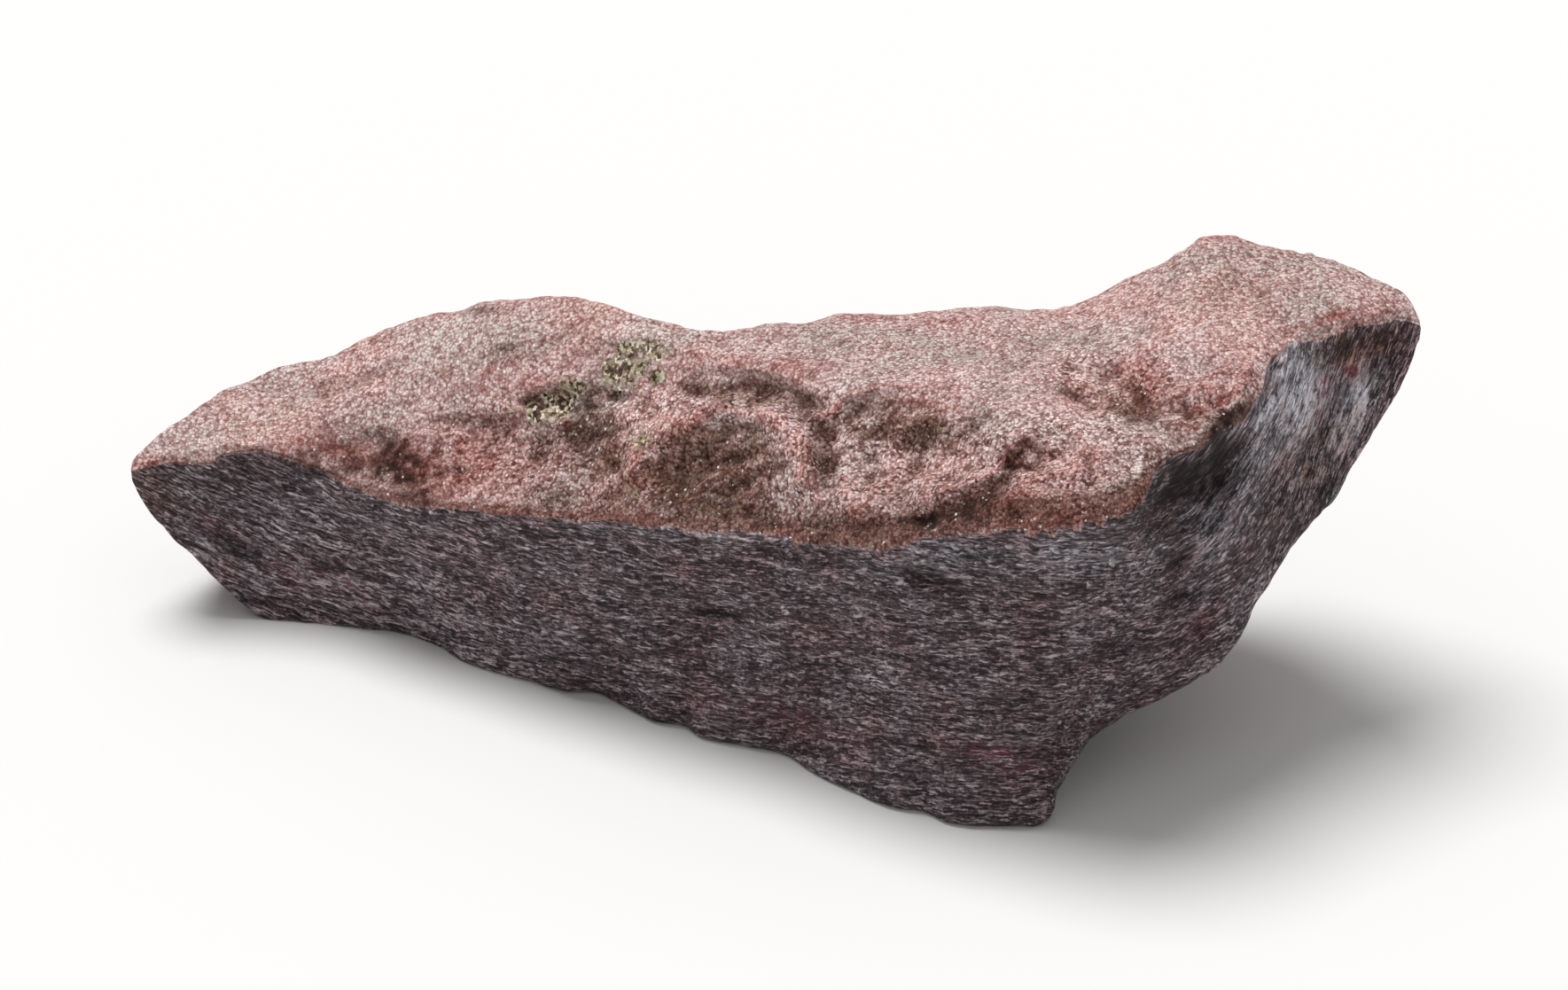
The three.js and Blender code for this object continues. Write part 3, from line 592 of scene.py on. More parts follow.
    def flow(self, point: Array) -> Array:
        """Places along, across and through the lineation: (x, sighted - course(x), beyond).

        Args:
            point: bare points, (n, 3).

        Returns:
            The places in millimetres, (n, 3).
        """
        sighted, beyond = self.sight(point)
        course = sighted - curve_through(LINEATION, 1, point[:, 0])
        return np.stack([point[:, 0], course, beyond], 1)

    def streaks(self, point: Array) -> Array:
        """The same places for the finish, spread so that streaks keep their size on the right face.

        Along the course its own length is counted. Across it, past the corner, the distance from
        the middle streak shrinks, because that face is seen aslant.

        Args:
            point: bare points, (n, 3).

        Returns:
            Along, across and through in millimetres, (n, 3).
        """
        along, across, beyond = self.flow(point).T
        half, step = self.course_half, self.course_step
        fine = np.linspace(-half, half, round(2 * half / step) + 1)
        length = np.cumsum(np.hypot(step, np.gradient(curve_through(LINEATION, 1, fine))))
        spread = 1 - self.slant_share * smoothstep(along, *self.corner)
        across = self.middle_streak + (across - self.middle_streak) * spread
        return np.stack([np.interp(along, fine, length), across, beyond], 1)

    def weathered(self, point: Array, girth: Array) -> Array:
        """How far the weathered skin stands out of the bare form: unevenness and bedding.

        Args:
            point: bare points, (n, 3).
            girth: their places round the section, (n,).

        Returns:
            Heights along the outward direction, (n,).
        """
        height = octaves(point, self.weathering, 1)
        height = height + octaves(self.flow(point), self.bedding, len(self.weathering) + 1)
        return height * self.calm(point, girth)

    def calm(self, point: Array, girth: Array) -> Array:
        """The share of the weathering that is left: less at the outline, the tips and the sole.

        Args:
            point: bare points, (n, 3).
            girth: their places round the section, (n,).

        Returns:
            Shares from 0 to 1, (n,).
        """
        crest = Line.CREST.value
        from_outline = np.minimum(np.minimum(girth, self.lines - girth), abs(girth - crest))
        swell = smoothstep(from_outline, 0, self.outline_calm)
        thickness = smoothstep(self.from_tip(point[:, 0]), 0, self.tip_fade)
        underneath = smoothstep(girth, *self.sole_calm)
        calm = self.outline_share + (1 - self.outline_share) * swell
        calm = calm * (self.tip_share + (1 - self.tip_share) * thickness)
        return calm * (1 + (self.sole_share - 1) * underneath)

    def crust(self, point: Array, girth: Array) -> Array:
        """How far each place is on the dark unweathered faces, 1, and not on the pink top, 0.

        Args:
            point: bare points, (n, 3).
            girth: their places round the section, (n,).

        Returns:
            Shares from 0 to 1, (n,).
        """
        start, stop = self.hanging
        hanging = smoothstep(point[:, 0], *start) * (1 - smoothstep(point[:, 0], *stop))
        wisps = unevenness(self.streaks(point) / self.hanging_wisp, 25)
        reach, more = self.hanging_reach
        raised = girth + octaves(point, self.brow_rag, 21) - hanging * (reach + more * wisps)
        low, high = self.brow_edge
        near_face = 1 - smoothstep(raised, low, high + self.hanging_blur * hanging)
        behind = girth + octaves(point, self.shoulder_rag, 23)
        return np.maximum(near_face, smoothstep(behind, *self.shoulder_edge))

    def fine_relief(self, bare: Array, girth: Array, near: Array) -> Array:
        """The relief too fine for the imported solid: scallops, grit and ridges.

        Args:
            bare: bare points, (n, 3).
            girth: their places round the section, (n,).
            near: how far each place is on the near side, (n,).

        Returns:
            Heights along the outward direction, (n,).
        """
        x = bare[:, 0]
        crust = self.crust(bare, girth)
        tip = smoothstep(self.from_tip(x), 0, self.fine_tip_fade)
        kept = self.fine_tip_share + (1 - self.fine_tip_share) * tip
        broken = np.clip(sum_of(BROKEN_GROUND, x, self.sight(bare)[0], power=1), 0, 1)
        start, stop = self.broken_edge
        edge = smoothstep(girth, *start) * (1 - smoothstep(girth, *stop))
        broken = kept * near * np.maximum(broken, self.edge_share * edge)
        rough = kept * (self.worn_grit + broken) * (1 - self.face_loses_grit * crust)
        height = rough * octaves(bare, self.grit, 11)
        height += kept * crust * octaves(self.streaks(bare), self.ridges, 15)
        for seed, (gap, size) in enumerate(self.scallops, 51):
            shell = self.scallop_level - abs(unevenness(bare / gap, seed))
            height += size * broken * (1 - self.face_loses_scallops * crust) * shell
        return height

    def skin(self, x: Array, girth: Array, fine: bool) -> Array:
        """Finished points: the bare form, weathered, with hollows pressed in along the sight line.

        Args:
            x: places along the stone, (n,).
            girth: places round the section, (n,).
            fine: adds the marks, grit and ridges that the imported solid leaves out.

        Returns:
            Points in millimetres, (n, 3), cut flat at the bed.
        """
        up, away = self.slant
        crest, heel = Line.CREST.value, Line.HEEL.value
        foot_fade, crest_fade = self.near_fades
        near = np.clip(np.minimum(girth / foot_fade, (crest - girth) / crest_fade), 0, 1)
        bare = self.bare(x, girth)
        sighted, _ = self.sight(bare)
        height = self.weathered(bare, girth)
        hollow = near * (sum_of(HOLLOWS, x, sighted) + sum_of(CREASES, x, sighted))
        if fine:
            height = height + self.fine_relief(bare, girth, near)
            hollow = hollow + near * sum_of(FINE_MARKS, x, sighted)
        point = bare + self.outward(x, girth) * height[:, None]
        point[:, 1] += hollow * up
        point[:, 2] -= hollow * away
        top_fade, heel_fade = self.far_fades
        far = np.clip(np.minimum((girth - crest) / top_fade, (heel - girth) / heel_fade), 0, 1)
        point[:, 1] -= far * sum_of(FAR_SCARS, x, bare[:, 2])
        under = smoothstep(girth, heel, heel + self.sole_edge)
        point[:, 2] = np.maximum(point[:, 2] - self.sole_clearance * under, 0)
        return point


class Tint(Enum):
    """What stains the stone in patches, and where shade and sky light are painted on it; each is a
    mesh attribute of that name.
    """

    RED = "red"
    OLIVE_AND_SHADE = "olive_and_shade"
    # Brown weathering of the scars, laid on thick enough to carry part of their shade: partly
    # weathering, partly painted shade.
    PALE = "pale"
    LICHEN = "lichen"
    BLUE = "sky_sheen"
    # Painted sky light: a paler bluish veil on the right face and on the strip under the brow.
    MAROON = "maroon"
    # Painted shade: darkening laid in the cave, hollows, pits, lenses and nicks. On the unseen side
    # it lies in loose random clouds.
    DARK = "dark"
    # Lighter tone where the stone is worn smooth; the strong patches on the right face, with the
    # bluish veil, are painted sky light.
    WORN_AND_SKY_LIT = "worn"
    FRESH = "fresh"


# Where each stain, and each patch of painted shade and painted sky light, lies on the near side,
# placed as it is sighted, with its strength last.
PATCHES: dict[Tint, tuple[Oval, ...]] = {
    Tint.RED: ovals(
        (-39.5, 37.4, 5, 2.8, -55, 0.4), (31, 39, 9, 3, -5, 0.5), (47, 47, 6, 3, 30, 0.5),
        (-44, 39.5, 13, 3.5, 4, -14, 0.8), (-30, 40.5, 16, 5, 4, 0.5),
        (-66.5, 38.4, 4, 1.6, 0, 0.7), (46.8, 44.4, 4.5, 1.6, 35, 0.8),
        (15, 45.2, 8, 0.8, -5, 0.6), (60, 54.2, 8, 0.9, 8, 0.6), (39, 47.5, 6, 3, -20, 0.6),
        (-22, 53.6, 7, 0.6, 18, 0.5), (-29, 49.3, 8, 0.7, 22, 0.5), (0, 49.8, 12, 0.8, -4, 0.4),
        (12, 54, 14, 0.7, 2, 0.4),
    ),
    # Brown weathering of the scars and hollows: partly weathering, partly painted shade.
    Tint.OLIVE_AND_SHADE: ovals(
        (-6, 38, 9, 5.5, 5, 0, 1.5), (-19.5, 41.5, 5, 4.5, 0, 1.2), (-15.5, 36, 4, 3, -70, 0.7),
        (-2, 46.3, 9, 1.8, 2, -3, 0.9), (5, 41, 7, 1.8, -75, 0.8), (14.5, 42.5, 9, 3, -5, 1.1),
        (-25, 36.5, 7, 2, 0, 0.5), (14, 36.5, 7, 2, 0, 0.35), (20, 34.6, 6, 1.3, 25, 1.3),
        (26.8, 39.3, 2.6, 2, 0, 1), (-31, 43.8, 8, 1.5, 6, 0.25), (-26, 51.6, 8, 0.9, 20, 0.4),
        (-45.5, 47.8, 9, 1.2, 14, 0.4), (-36, 48.8, 7, 0.8, 12, 0.35),
        (-29.5, 55.2, 4, 0.9, 0, 0.5), (-27, 41.3, 7, 1.8, 2, 0, 0.25),
        (-67, 35.5, 4, 3, -30, 0.7), (-36, 38.5, 4, 1.6, -10, 0.6), (-6, 33.9, 9, 1.8, -4, 0.9),
        (5, 33, 12, 2, 0, 0.4), (39, 44.5, 7, 1.6, -20, 0.5), (34.5, 45.2, 6, 0.9, -15, 0.6),
        (27, 34, 7, 1.8, 0, 0.6), (62.5, 51.3, 6, 1.8, 2.2, 9, 1.2),
        (57, 38, 10, 5, 3.5, 58, 0.5),
    ),
    # Lighter where worn smooth; the strong patches on the right face are painted sky light.
    Tint.WORN_AND_SKY_LIT: ovals(
        (-19, 53.5, 9, 3, 0, 0.9), (-36, 50.5, 12, 3.5, 15, 0.6), (-57, 42.5, 9, 3, 28, 0.9),
        (48, 53.5, 7, 3, 0, 0.7), (34, 39.5, 6, 2, 0, 0.4), (59, 43, 9, 4, 60, 2.4),
        (55, 47, 7, 4, 70, 1), (-45, 26, 30, 9, -14, 0.3),
    ),
    Tint.FRESH: BROKEN_GROUND,
    Tint.PALE: ovals(
        (12, 51, 16, 2.2, -3, 0.8), (52, 57, 12, 5, 0, 0.9), (28, 51, 8, 3, 0, 0.5),
        (-10, 52, 6, 1.5, 0, 0.6), (-24, 53.5, 9, 2.5, 10, 0.6), (-56, 43.5, 10, 3, 28, 0.9),
    ),
    Tint.LICHEN: ovals(
        (-16.2, 49.4, 3.8, 2.8, 60, 1), (-12.8, 51.3, 2.8, 1.5, -10, 0.7),
        (-24.5, 45.4, 4.6, 1.9, 8, 1), (-21, 47.3, 3, 1.2, -20, 0.7),
        (-12.5, 48.4, 2, 1.2, 0, 0.8), (-14, 52, 3, 1, 10, 0.6), (-13.8, 35.2, 1.4, 1, 0, 0.7),
        (-14.2, 41.5, 1.5, 2.5, 0, 0.4),
    ),
    # Painted sky light: the paler bluish veil of the right face and of the strip under the brow.
    Tint.BLUE: ovals(
        (55.5, 47.3, 5.5, 4.5, 70, 1), (52.5, 42, 5.5, 3.2, 62, 0.7),
        (62.5, 45.8, 6.5, 3.2, 58, 0.8), (48, 33, 7, 2.4, 50, 0.35), (35, 29.5, 10, 3.2, 0, 0.25),
        (20, 28.6, 14, 2, 0, 0.3), (-8, 31.4, 20, 1.2, -4, 0.3),
    ),
    Tint.MAROON: ovals(
        (61.6, 48.8, 1.3, 0.9, 0, 1), (58.4, 47.4, 1.3, 2.4, -30, 0.7),
        (57.3, 44.2, 0.9, 0.7, 0, 0.8), (46, 22.5, 3, 1.6, 60, 0.4), (-48, 26, 8, 3, -20, 0.2),
        (-60, 32.5, 5, 2, -30, 0.25), (0, 11.5, 14, 2.5, -10, 0.2), (24, 8, 7, 2.5, -10, 0.3),
        (42, 34, 3, 2, 30, 0.3),
    ),
    # Painted shade in the cave, the hollows, pits, lenses and nicks.
    Tint.DARK: ovals(
        (45.7, 38, 6.8, 2.8, 4, 31, 1.6), (41.5, 34, 4, 2.4, 30, 0.6),
        (59.6, 46, 4.5, 1.6, 68, 0.4), (61.5, 51.2, 5, 1.2, 1.6, 12, 0.4),
        (53, 31, 8, 2, 58, 0.3), (43.3, 28.8, 2.4, 1.4, 25, 0.8), (43.6, 25, 3, 1.2, 42, 0.8),
        (1.4, 29, 4.5, 1, -6, 0.8), (17, 26.2, 6, 1.5, -12, 0.7), (-6.5, 22.9, 3, 1, -6, 0.5),
        (-58, 30.4, 5, 1.3, -25, 0.5), (-48, 27.6, 5, 1, -20, 0.5), (36.5, 19.2, 4, 0.9, 5, 0.4),
        (28, 8.8, 3, 1.2, -30, 0.5), (-19, 45.8, 2.6, 1, 10, 1), (-16.6, 46.2, 1.4, 0.8, 0, 0.8),
        (-14.2, 49.7, 1.4, 0.8, 0, 0.6), (-12.2, 47.9, 1.2, 0.7, 0, 0.8),
        (-26, 45.2, 1.6, 0.9, 0, 0.7), (22.6, 35.7, 5, 1, 33, 0.4), (17.5, 33, 4, 1.2, 8, 0.35),
        (49.2, 43.1, 4.6, 1.1, 38, 0.9), (21.6, 43.3, 1.9, 1.2, 20, 0.4),
        (-39.8, 37.4, 5, 3.6, -62, 0.75), (-46, 38.4, 8, 2, -12, 0.6),
        (-43, 41, 9, 2.4, -10, 0.25), (-6.5, 38.2, 6, 3.6, 0, 0.2),
        (-41.5, 41.4, 3, 1.2, -40, 0.3), (16, 32.2, 9, 1.4, 4, 0.35),
        (-20, 42.5, 3.5, 2.4, 0, 0.35), (5, 41.5, 5, 1, -72, 0.25),
    ),
}


@dataclass(frozen=True)
class RoughStone:
    """The stone's one piece: its form sampled on a grid of columns along it and rows round it."""

    form: StoneForm = StoneForm()
    columns: int = 425
    rows: tuple[int, ...] = (30, 32, 12, 44, 16, 22, 10, 20, 20, 12, 14)
    packed_columns: int = 97
    packed_rows: tuple[int, ...] = (4, 4, 3, 12, 5, 4, 3, 3, 4, 3, 3)
    crowding: float = 0.6
    # The steps on the grid to the surroundings that a point stands out of.
    nearby: tuple[int, ...] = (-5, -2, 2, 5)
    tiny: float = 1e-9
    # Stains, painted shade and painted sky light: how their outlines wander, how ragged they are,
    # and the clouds on the unseen side.
    wander_gap: float = 5
    wander: Span = (1.2, 0.8)
    ragged: Points = ((2.1, 0.6), (0.9, 0.8))
    cloud_gap: float = 14
    cloud_share: float = 0.5
    cloud_rag: float = 0.4
    cloud_edge: Span = (0.1, 0.8)
    near_blend: float = 0.5
    # The brown strip above the brow: where it starts, where it ends on the left and how much
    # further it runs in the middle, all in girth, and the stretches of x where that changes.
    strip_start: Span = (1.9, 2.1)
    strip_stop: Span = (2.1, 2.6)
    strip_more: Span = (0.5, 0.7)
    strip_widens: Span = (-52, -20)
    strip_fades: Span = (54, 59)

    def places(self, columns: int, rows: tuple[int, ...]) -> tuple[Array, Array]:
        """The grid's places: x steps of t - c sin(2 pi t) / (2 pi), even girth steps in each flank.

        Args:
            columns: steps along the stone.
            rows: steps in each flank.

        Returns:
            x and girth of every point between the tips, ring after ring.
        """
        even = np.arange(1, columns) / columns
        eased = even - self.crowding * np.sin(2 * np.pi * even) / (2 * np.pi)
        x = self.form.left_end + (self.form.right_end - self.form.left_end) * eased
        flanks = [flank + np.arange(count) / count for flank, count in enumerate(rows)]
        girth = np.concatenate(flanks)
        return np.repeat(x, len(girth)), np.tile(girth, len(x))

    def shift(self) -> Array:
        """How the layout moves onto the frame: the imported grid's low corner goes to the node's.

        Returns:
            The move in millimetres, (3,).
        """
        places = self.places(self.packed_columns, self.packed_rows)
        low = self.form.skin(*places, fine=False).min(axis=0)
        low[0] = self.form.left_end
        return np.array(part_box(NODE)[0]) / MM - low

    def faces(self) -> tuple[Array, Array]:
        """The skin's faces, wound to point outwards.

        Returns:
            Four-cornered faces between neighbouring rings, and triangles that close the two tips.
        """
        around, rings = sum(self.rows), self.columns - 1
        row = np.arange(around)
        after = (row + 1) % around
        start = np.arange(rings - 1)[:, None] * around
        a, b = start + row, start + after
        skin = np.stack([a, a + around, b + around, b], -1).reshape(-1, 4)
        left, right, end = rings * around, rings * around + 1, (rings - 1) * around
        tips = [np.stack([np.full(around, left), row, after], 1)]
        tips.append(np.stack([np.full(around, right), end + after, end + row], 1))
        return skin, np.concatenate(tips)

    def proud(self, points: Array) -> Array:
        """How far each point stands out of the mean of its surroundings, in millimetres.

        The mean is taken over the nearby points along and round the stone, and only its part
        along the surface's normal counts.

        Args:
            points: the grid, ring after ring.

        Returns:
            Positive on edges and lumps, negative in crevices.
        """
        grid = points.reshape(self.columns - 1, -1, 3)
        along = np.gradient(grid, axis=0)
        around = np.roll(grid, -1, 1) - np.roll(grid, 1, 1)
        normal = np.cross(along, around)
        normal /= np.linalg.norm(normal, axis=2, keepdims=True) + self.tiny
        ring = np.arange(len(grid))
        mean = np.zeros(grid.shape)
        for step in self.nearby:
            beside = grid[np.clip(ring + step, 0, len(grid) - 1)]
            mean += (beside + np.roll(grid, step, 1)) / (2 * len(self.nearby))
        return ((grid - mean) * normal).sum(2).reshape(-1)

    def stains(self, bare: Array, girth: Array) -> dict[str, Array]:
        """The strength of each stain, painted shade and painted sky light: its patches on the near
        side, and loose clouds elsewhere.

        Args:
            bare: points of the bare form.
            girth: their places round the section.

        Returns:
            An array from 0 to 1 for each stain's name.
        """
        sighted, _ = self.form.sight(bare)
        near = 1 - smoothstep(girth, Line.CREST.value, Line.CREST.value + self.near_blend)
        x, height = bare[:, 0], sighted
        x = x + self.wander[0] * unevenness(bare / self.wander_gap, 31)
        height = height + self.wander[1] * unevenness(bare / self.wander_gap, 32)
        rag = octaves(bare, self.ragged, 33)
        found = {}
        for seed, (tint, patches) in enumerate(PATCHES.items(), 41):
            patch = sum_of(patches, x, height, power=1) * (1 + rag)
            drift = unevenness(bare / self.cloud_gap, seed) + self.cloud_rag * rag
            cloud = self.cloud_share * smoothstep(drift, *self.cloud_edge)
            found[tint.value] = np.clip(near * patch + (1 - near) * cloud, 0, 1)
        found[Tint.LICHEN.value] = found[Tint.LICHEN.value] * near
        return found

    def strip(self, bare: Array, girth: Array) -> Array:
        """The brown strip above the brow, with the band under the knob's brow.

        Args:
            bare: points of the bare form.
            girth: their places round the section.

        Returns:
            Its strength at each point.
        """
        x = bare[:, 0]
        wide = smoothstep(x, *self.strip_widens)
        low, high = (at + more * wide for at, more in zip(self.strip_stop, self.strip_more))
        strip = smoothstep(girth, *self.strip_start) * (1 - smoothstep(girth, low, high))
        strip *= 1 - smoothstep(x, *self.strip_fades)
        return np.maximum(strip, sum_of(UNDERCUT, x, self.form.sight(bare)[0], power=1))

    def build(self) -> bpy.types.Object:
        """Makes the stone's mesh, closed at both tips, with the attributes its finish reads.

        Returns:
            The stone's object, at the origin.
        """
        form = self.form
        x, girth = self.places(self.columns, self.rows)
        skin = form.skin(x, girth, fine=True)
        ends = np.array([[form.left_end, *form.left_tip], [form.right_end, *form.right_tip]])
        points = (np.concatenate([skin, ends]) + self.shift()) * MM
        quads, tips = self.faces()
        mesh = bpy.data.meshes.new(PIECE)
        mesh.from_pydata(points.tolist(), [], quads.tolist() + tips.tolist())
        mesh.polygons.foreach_set("use_smooth", np.ones(len(mesh.polygons), dtype=bool))
        bare = form.bare(x, girth)
        values = self.stains(bare, girth) | {"crust": form.crust(bare, girth)}
        values |= {"proud": self.proud(skin), "strip": self.strip(bare, girth)}
        for name, value in values.items():
            both = np.concatenate([value, value[:1], value[-1:]]).astype(np.float32)
            mesh.attributes.new(name, "FLOAT", "POINT").data.foreach_set("value", both)
        streaks = np.concatenate([form.streaks(bare), ends]).astype(np.float32).ravel()
        lineation = mesh.attributes.new("streaks", "FLOAT_VECTOR", "POINT")
        lineation.data.foreach_set("vector", streaks)
        mesh.validate()
        stone = bpy.data.objects.new(PIECE, mesh)
        bpy.context.scene.collection.objects.link(stone)
        return stone

    def dress(self, stone: bpy.types.Object, finish: "WeatheredQuartzite") -> None:
        """Gives the stone its finish and its place in the frame.

        Args:
            stone: the stone's object.
            finish: what it is made of.
        """
        stone.data.materials.append(finish.material())
        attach(stone, BODY)
        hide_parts(NODE)


def linear(colour: str) -> tuple[float, float, float, float]:
    """Turns an sRGB hex colour to linear light.

    Args:
        colour: six hex digits, such as "a98884".

    Returns:
        Red, green, blue and full alpha.
    """
    parts = [int(colour[i : i + 2], 16) / 255 for i in (0, 2, 4)]
    red, green, sky_sheen = (p / 12.92 if p <= 0.04045 else ((p + 0.055) / 1.055) ** 2.4 for p in parts)
    return red, green, sky_sheen, 1.0


def add(
    tree: Tree, kind: str, inputs: Inputs, stops: Tones | None = None, **settings: object
) -> Outputs:
    """Adds a node with its settings, input values and links.

    By place, a Mix takes its share at 0, numbers at 2 and 3, and colours at 6 and 7. A MapRange
    takes its value at 0, the stretch it reads at 1 and 2, and the one it gives at 3 and 4.

    Args:
        tree: where the node goes.
        kind: the node's type, without its leading word.
        inputs: a value, or a socket to link, for each input by name or place.
        stops: a colour ramp's places and colours.
        settings: the node's own properties.

    Returns:
        The new node's outputs.
    """
    node = tree.nodes.new("ShaderNode" + kind)
    for name, value in settings.items():
        setattr(node, name, value)
    for name, value in inputs.items():
        if isinstance(value, Socket):
            tree.links.new(value, node.inputs[name])
        else:
            node.inputs[name].default_value = value
    if stops:
        ramp = node.color_ramp
        while len(ramp.elements) < len(stops):
            ramp.elements.new(0.5)
        for element, (place, colour) in zip(ramp.elements, sorted(stops.items())):
            element.position = place
            element.color = linear(colour)
    return node.outputs


def summed(tree: Tree, start: float | Socket, *parts: tuple[Socket, float | Socket]) -> Socket:
    """Adds patterns up: start + pattern * weight + ...

    Args:
        tree: where the nodes go.
        start: what they are added to.
        parts: each pattern and its weight.

    Returns:
        The sum.
    """
    for part, weight in parts:
        inputs = {0: part, 1: weight, 2: start}
        start = add(tree, "Math", inputs, operation="MULTIPLY_ADD")[0]
    return start


def stained_and_shaded(tree: Tree, colour: Socket, *stains: tuple[Socket, str]) -> Socket:
    """Lays stains and painted shade over a colour, each of which multiplies what is under it.

    Args:
        tree: where the nodes go.
        colour: what is stained.
        stains: how far each stain or painted shade covers, and its colour.

    Returns:
        The colour with its stains and painted shade.
    """
    for share, stain in stains:
        inputs = {0: share, 6: colour, 7: linear(stain)}
        colour = add(tree, "Mix", inputs, data_type="RGBA", blend_type="MULTIPLY")[2]
    return colour


@dataclass(frozen=True)
class WeatheredQuartzite:
    """Red quartzite: fused sand grains, weathered pink on top, dark and streaky on joint faces.

    Each grain is a small glassy lens, so the top looks sugary, with single bright glints, which are
    painted in as near-white grains. The joint faces keep a thin dark skin, drawn out along the
    stone in short wisps. Painted shade darkens the hollows, and a painted bluish sky sheen lies on
    the right face. Sizes are millimetres, and three of them are along, across and through the
    lineation.
    """

    # Sand grains, close to the real 0.35 to 0.4 mm, clumps of two or three that weather alike,
    # the cells for the painted glints, and the pits where grains fell out.
    grain: float = 0.34
    clump: float = 0.85
    glint: float = 0.32
    pit: float = 0.6
    # Specks of young lichen, the lobes of its crust, and how the specks gather.
    speck: float = 0.4
    lobe: float = 1.1
    colony: float = 1.6
    # Streaks of the joint faces. The finest real ones are too fine to show, so none is drawn
    # finer than 0.2 mm across.
    dash: tuple[float, float, float] = (0.8, 0.2, 0.6)
    wisp: tuple[float, float, float] = (1.9, 0.2, 1.3)
    # Threads and bands of several streaks, and the grit over them.
    thread: tuple[float, float, float] = (3.2, 0.42, 2.2)
    band: tuple[float, float, float] = (9, 0.85, 5)
    face_grit: float = 0.35
    # The rag of the brow, soft mottling, rust on the faces, and rosy and grey clouds on the top.
    rag: float = 0.8
    mottle: float = 3.2
    rust: float = 6
    cloud: float = 9
    # How places are moved about before each pattern: across a swirl, and twice the longest move.
    grain_wander: Span = (0.6, 0.5)
    glint_wander: Span = (0.2, 0.2)
    speck_wander: Span = (0.5, 0.5)
    streak_wander: Span = (1.3, 0.45)
    ior: float = 1.54
    # The pitted skin traps light, so only part of a clean quartz face's reflection is left.
    sheen: float = 0.2
    top_roughness: float = 0.78
    glint_roughness: float = 0.2
    face_roughness: float = 0.62
    relief: float = 0.8
    grain_tones: Tones = field(
        default_factory=lambda: {
            0.0: "4d3934", 0.2: "7b5f5a", 0.4: "ab9290", 0.6: "cfbbb9", 0.8: "e8dddb", 1.0: "fdf8f6"
        }
    )
    wisp_tones: Tones = field(
        default_factory=lambda: {
            0.0: "1c1617", 0.3: "3a3033", 0.55: "5f5256", 0.8: "9a8d93", 1.0: "cfc5cb"
        }
    )
    # Paler bluish wisps: painted sky light.
    sky_sheen_tones: Tones = field(
        default_factory=lambda: {
            0.0: "2a292c", 0.3: "5a5960", 0.5: "928e96", 0.75: "c4c0c8", 1.0: "edebf1"
        }
    )
    lichen_tones: Tones = field(
        default_factory=lambda: {0.0: "8f8468", 0.5: "c4ba98", 1.0: "f0e9d8"}
    )

    def material(self) -> bpy.types.Material:
        """The finished material: grainy top and streaked faces, joined at the ragged brow.

        Returns:
            The material.
        """
        material = bpy.data.materials.new("weathered_red_quartzite")
        material.use_nodes = True
        tree = material.node_tree
        tree.nodes.clear()
        objects = add(tree, "TexCoord", {})["Object"]
        inputs = {0: objects, "Scale": 1 / MM}
        place = add(tree, "VectorMath", inputs, operation="SCALE")[0]
        names = [tint.value for tint in Tint] + ["crust", "proud", "strip"]
        marks = {
            name: add(tree, "Attribute", {}, attribute_name=name)["Fac"] for name in names
        }
        top, top_height, gloss = self.top(tree, place, marks)
        face, face_height = self.face(tree, place, marks)
        inputs = {"Vector": place, "Scale": 1 / self.rag, "Detail": 3.0}
        ragged = add(tree, "TexNoise", inputs)[0]
        edge = summed(tree, marks["crust"], (ragged, 1.1))
        cover = add(tree, "MapRange", {0: edge, 1: 0.95, 2: 1.15})[0]
        colour = add(tree, "Mix", {0: cover, 6: top, 7: face}, data_type="RGBA")[2]
        height = add(tree, "Mix", {0: cover, 2: top_height, 3: face_height})[0]
        rough = add(tree, "MapRange", {0: cover, 3: gloss, 4: self.face_roughness})[0]
        inputs = {"Height": height, "Distance": MM, "Strength": self.relief}
        bump = add(tree, "Bump", inputs)[0]
        inputs = {"Base Color": colour, "Roughness": rough, "Metallic": 0.0, "Normal": bump}
        inputs |= {"IOR": self.ior, "Specular IOR Level": self.sheen}
        shader = add(tree, "BsdfPrincipled", inputs)
        add(tree, "OutputMaterial", {"Surface": shader[0]})
        return material

    def wandered(self, tree: Tree, place: Socket, gap: float, far: float) -> Socket:
        """Moves places about at random, in swirls.

        Args:
            tree: where the nodes go.
            place: the places.
            gap: how far across a swirl is.
            far: twice the longest move.

        Returns:
            The moved places.
        """
        inputs = {"Vector": place, "Scale": 1 / gap, "Detail": 1.0}
        inputs = {0: add(tree, "TexNoise", inputs)["Color"], 1: (far, far, far), 2: place}
        return add(tree, "VectorMath", inputs, operation="MULTIPLY_ADD")[0]

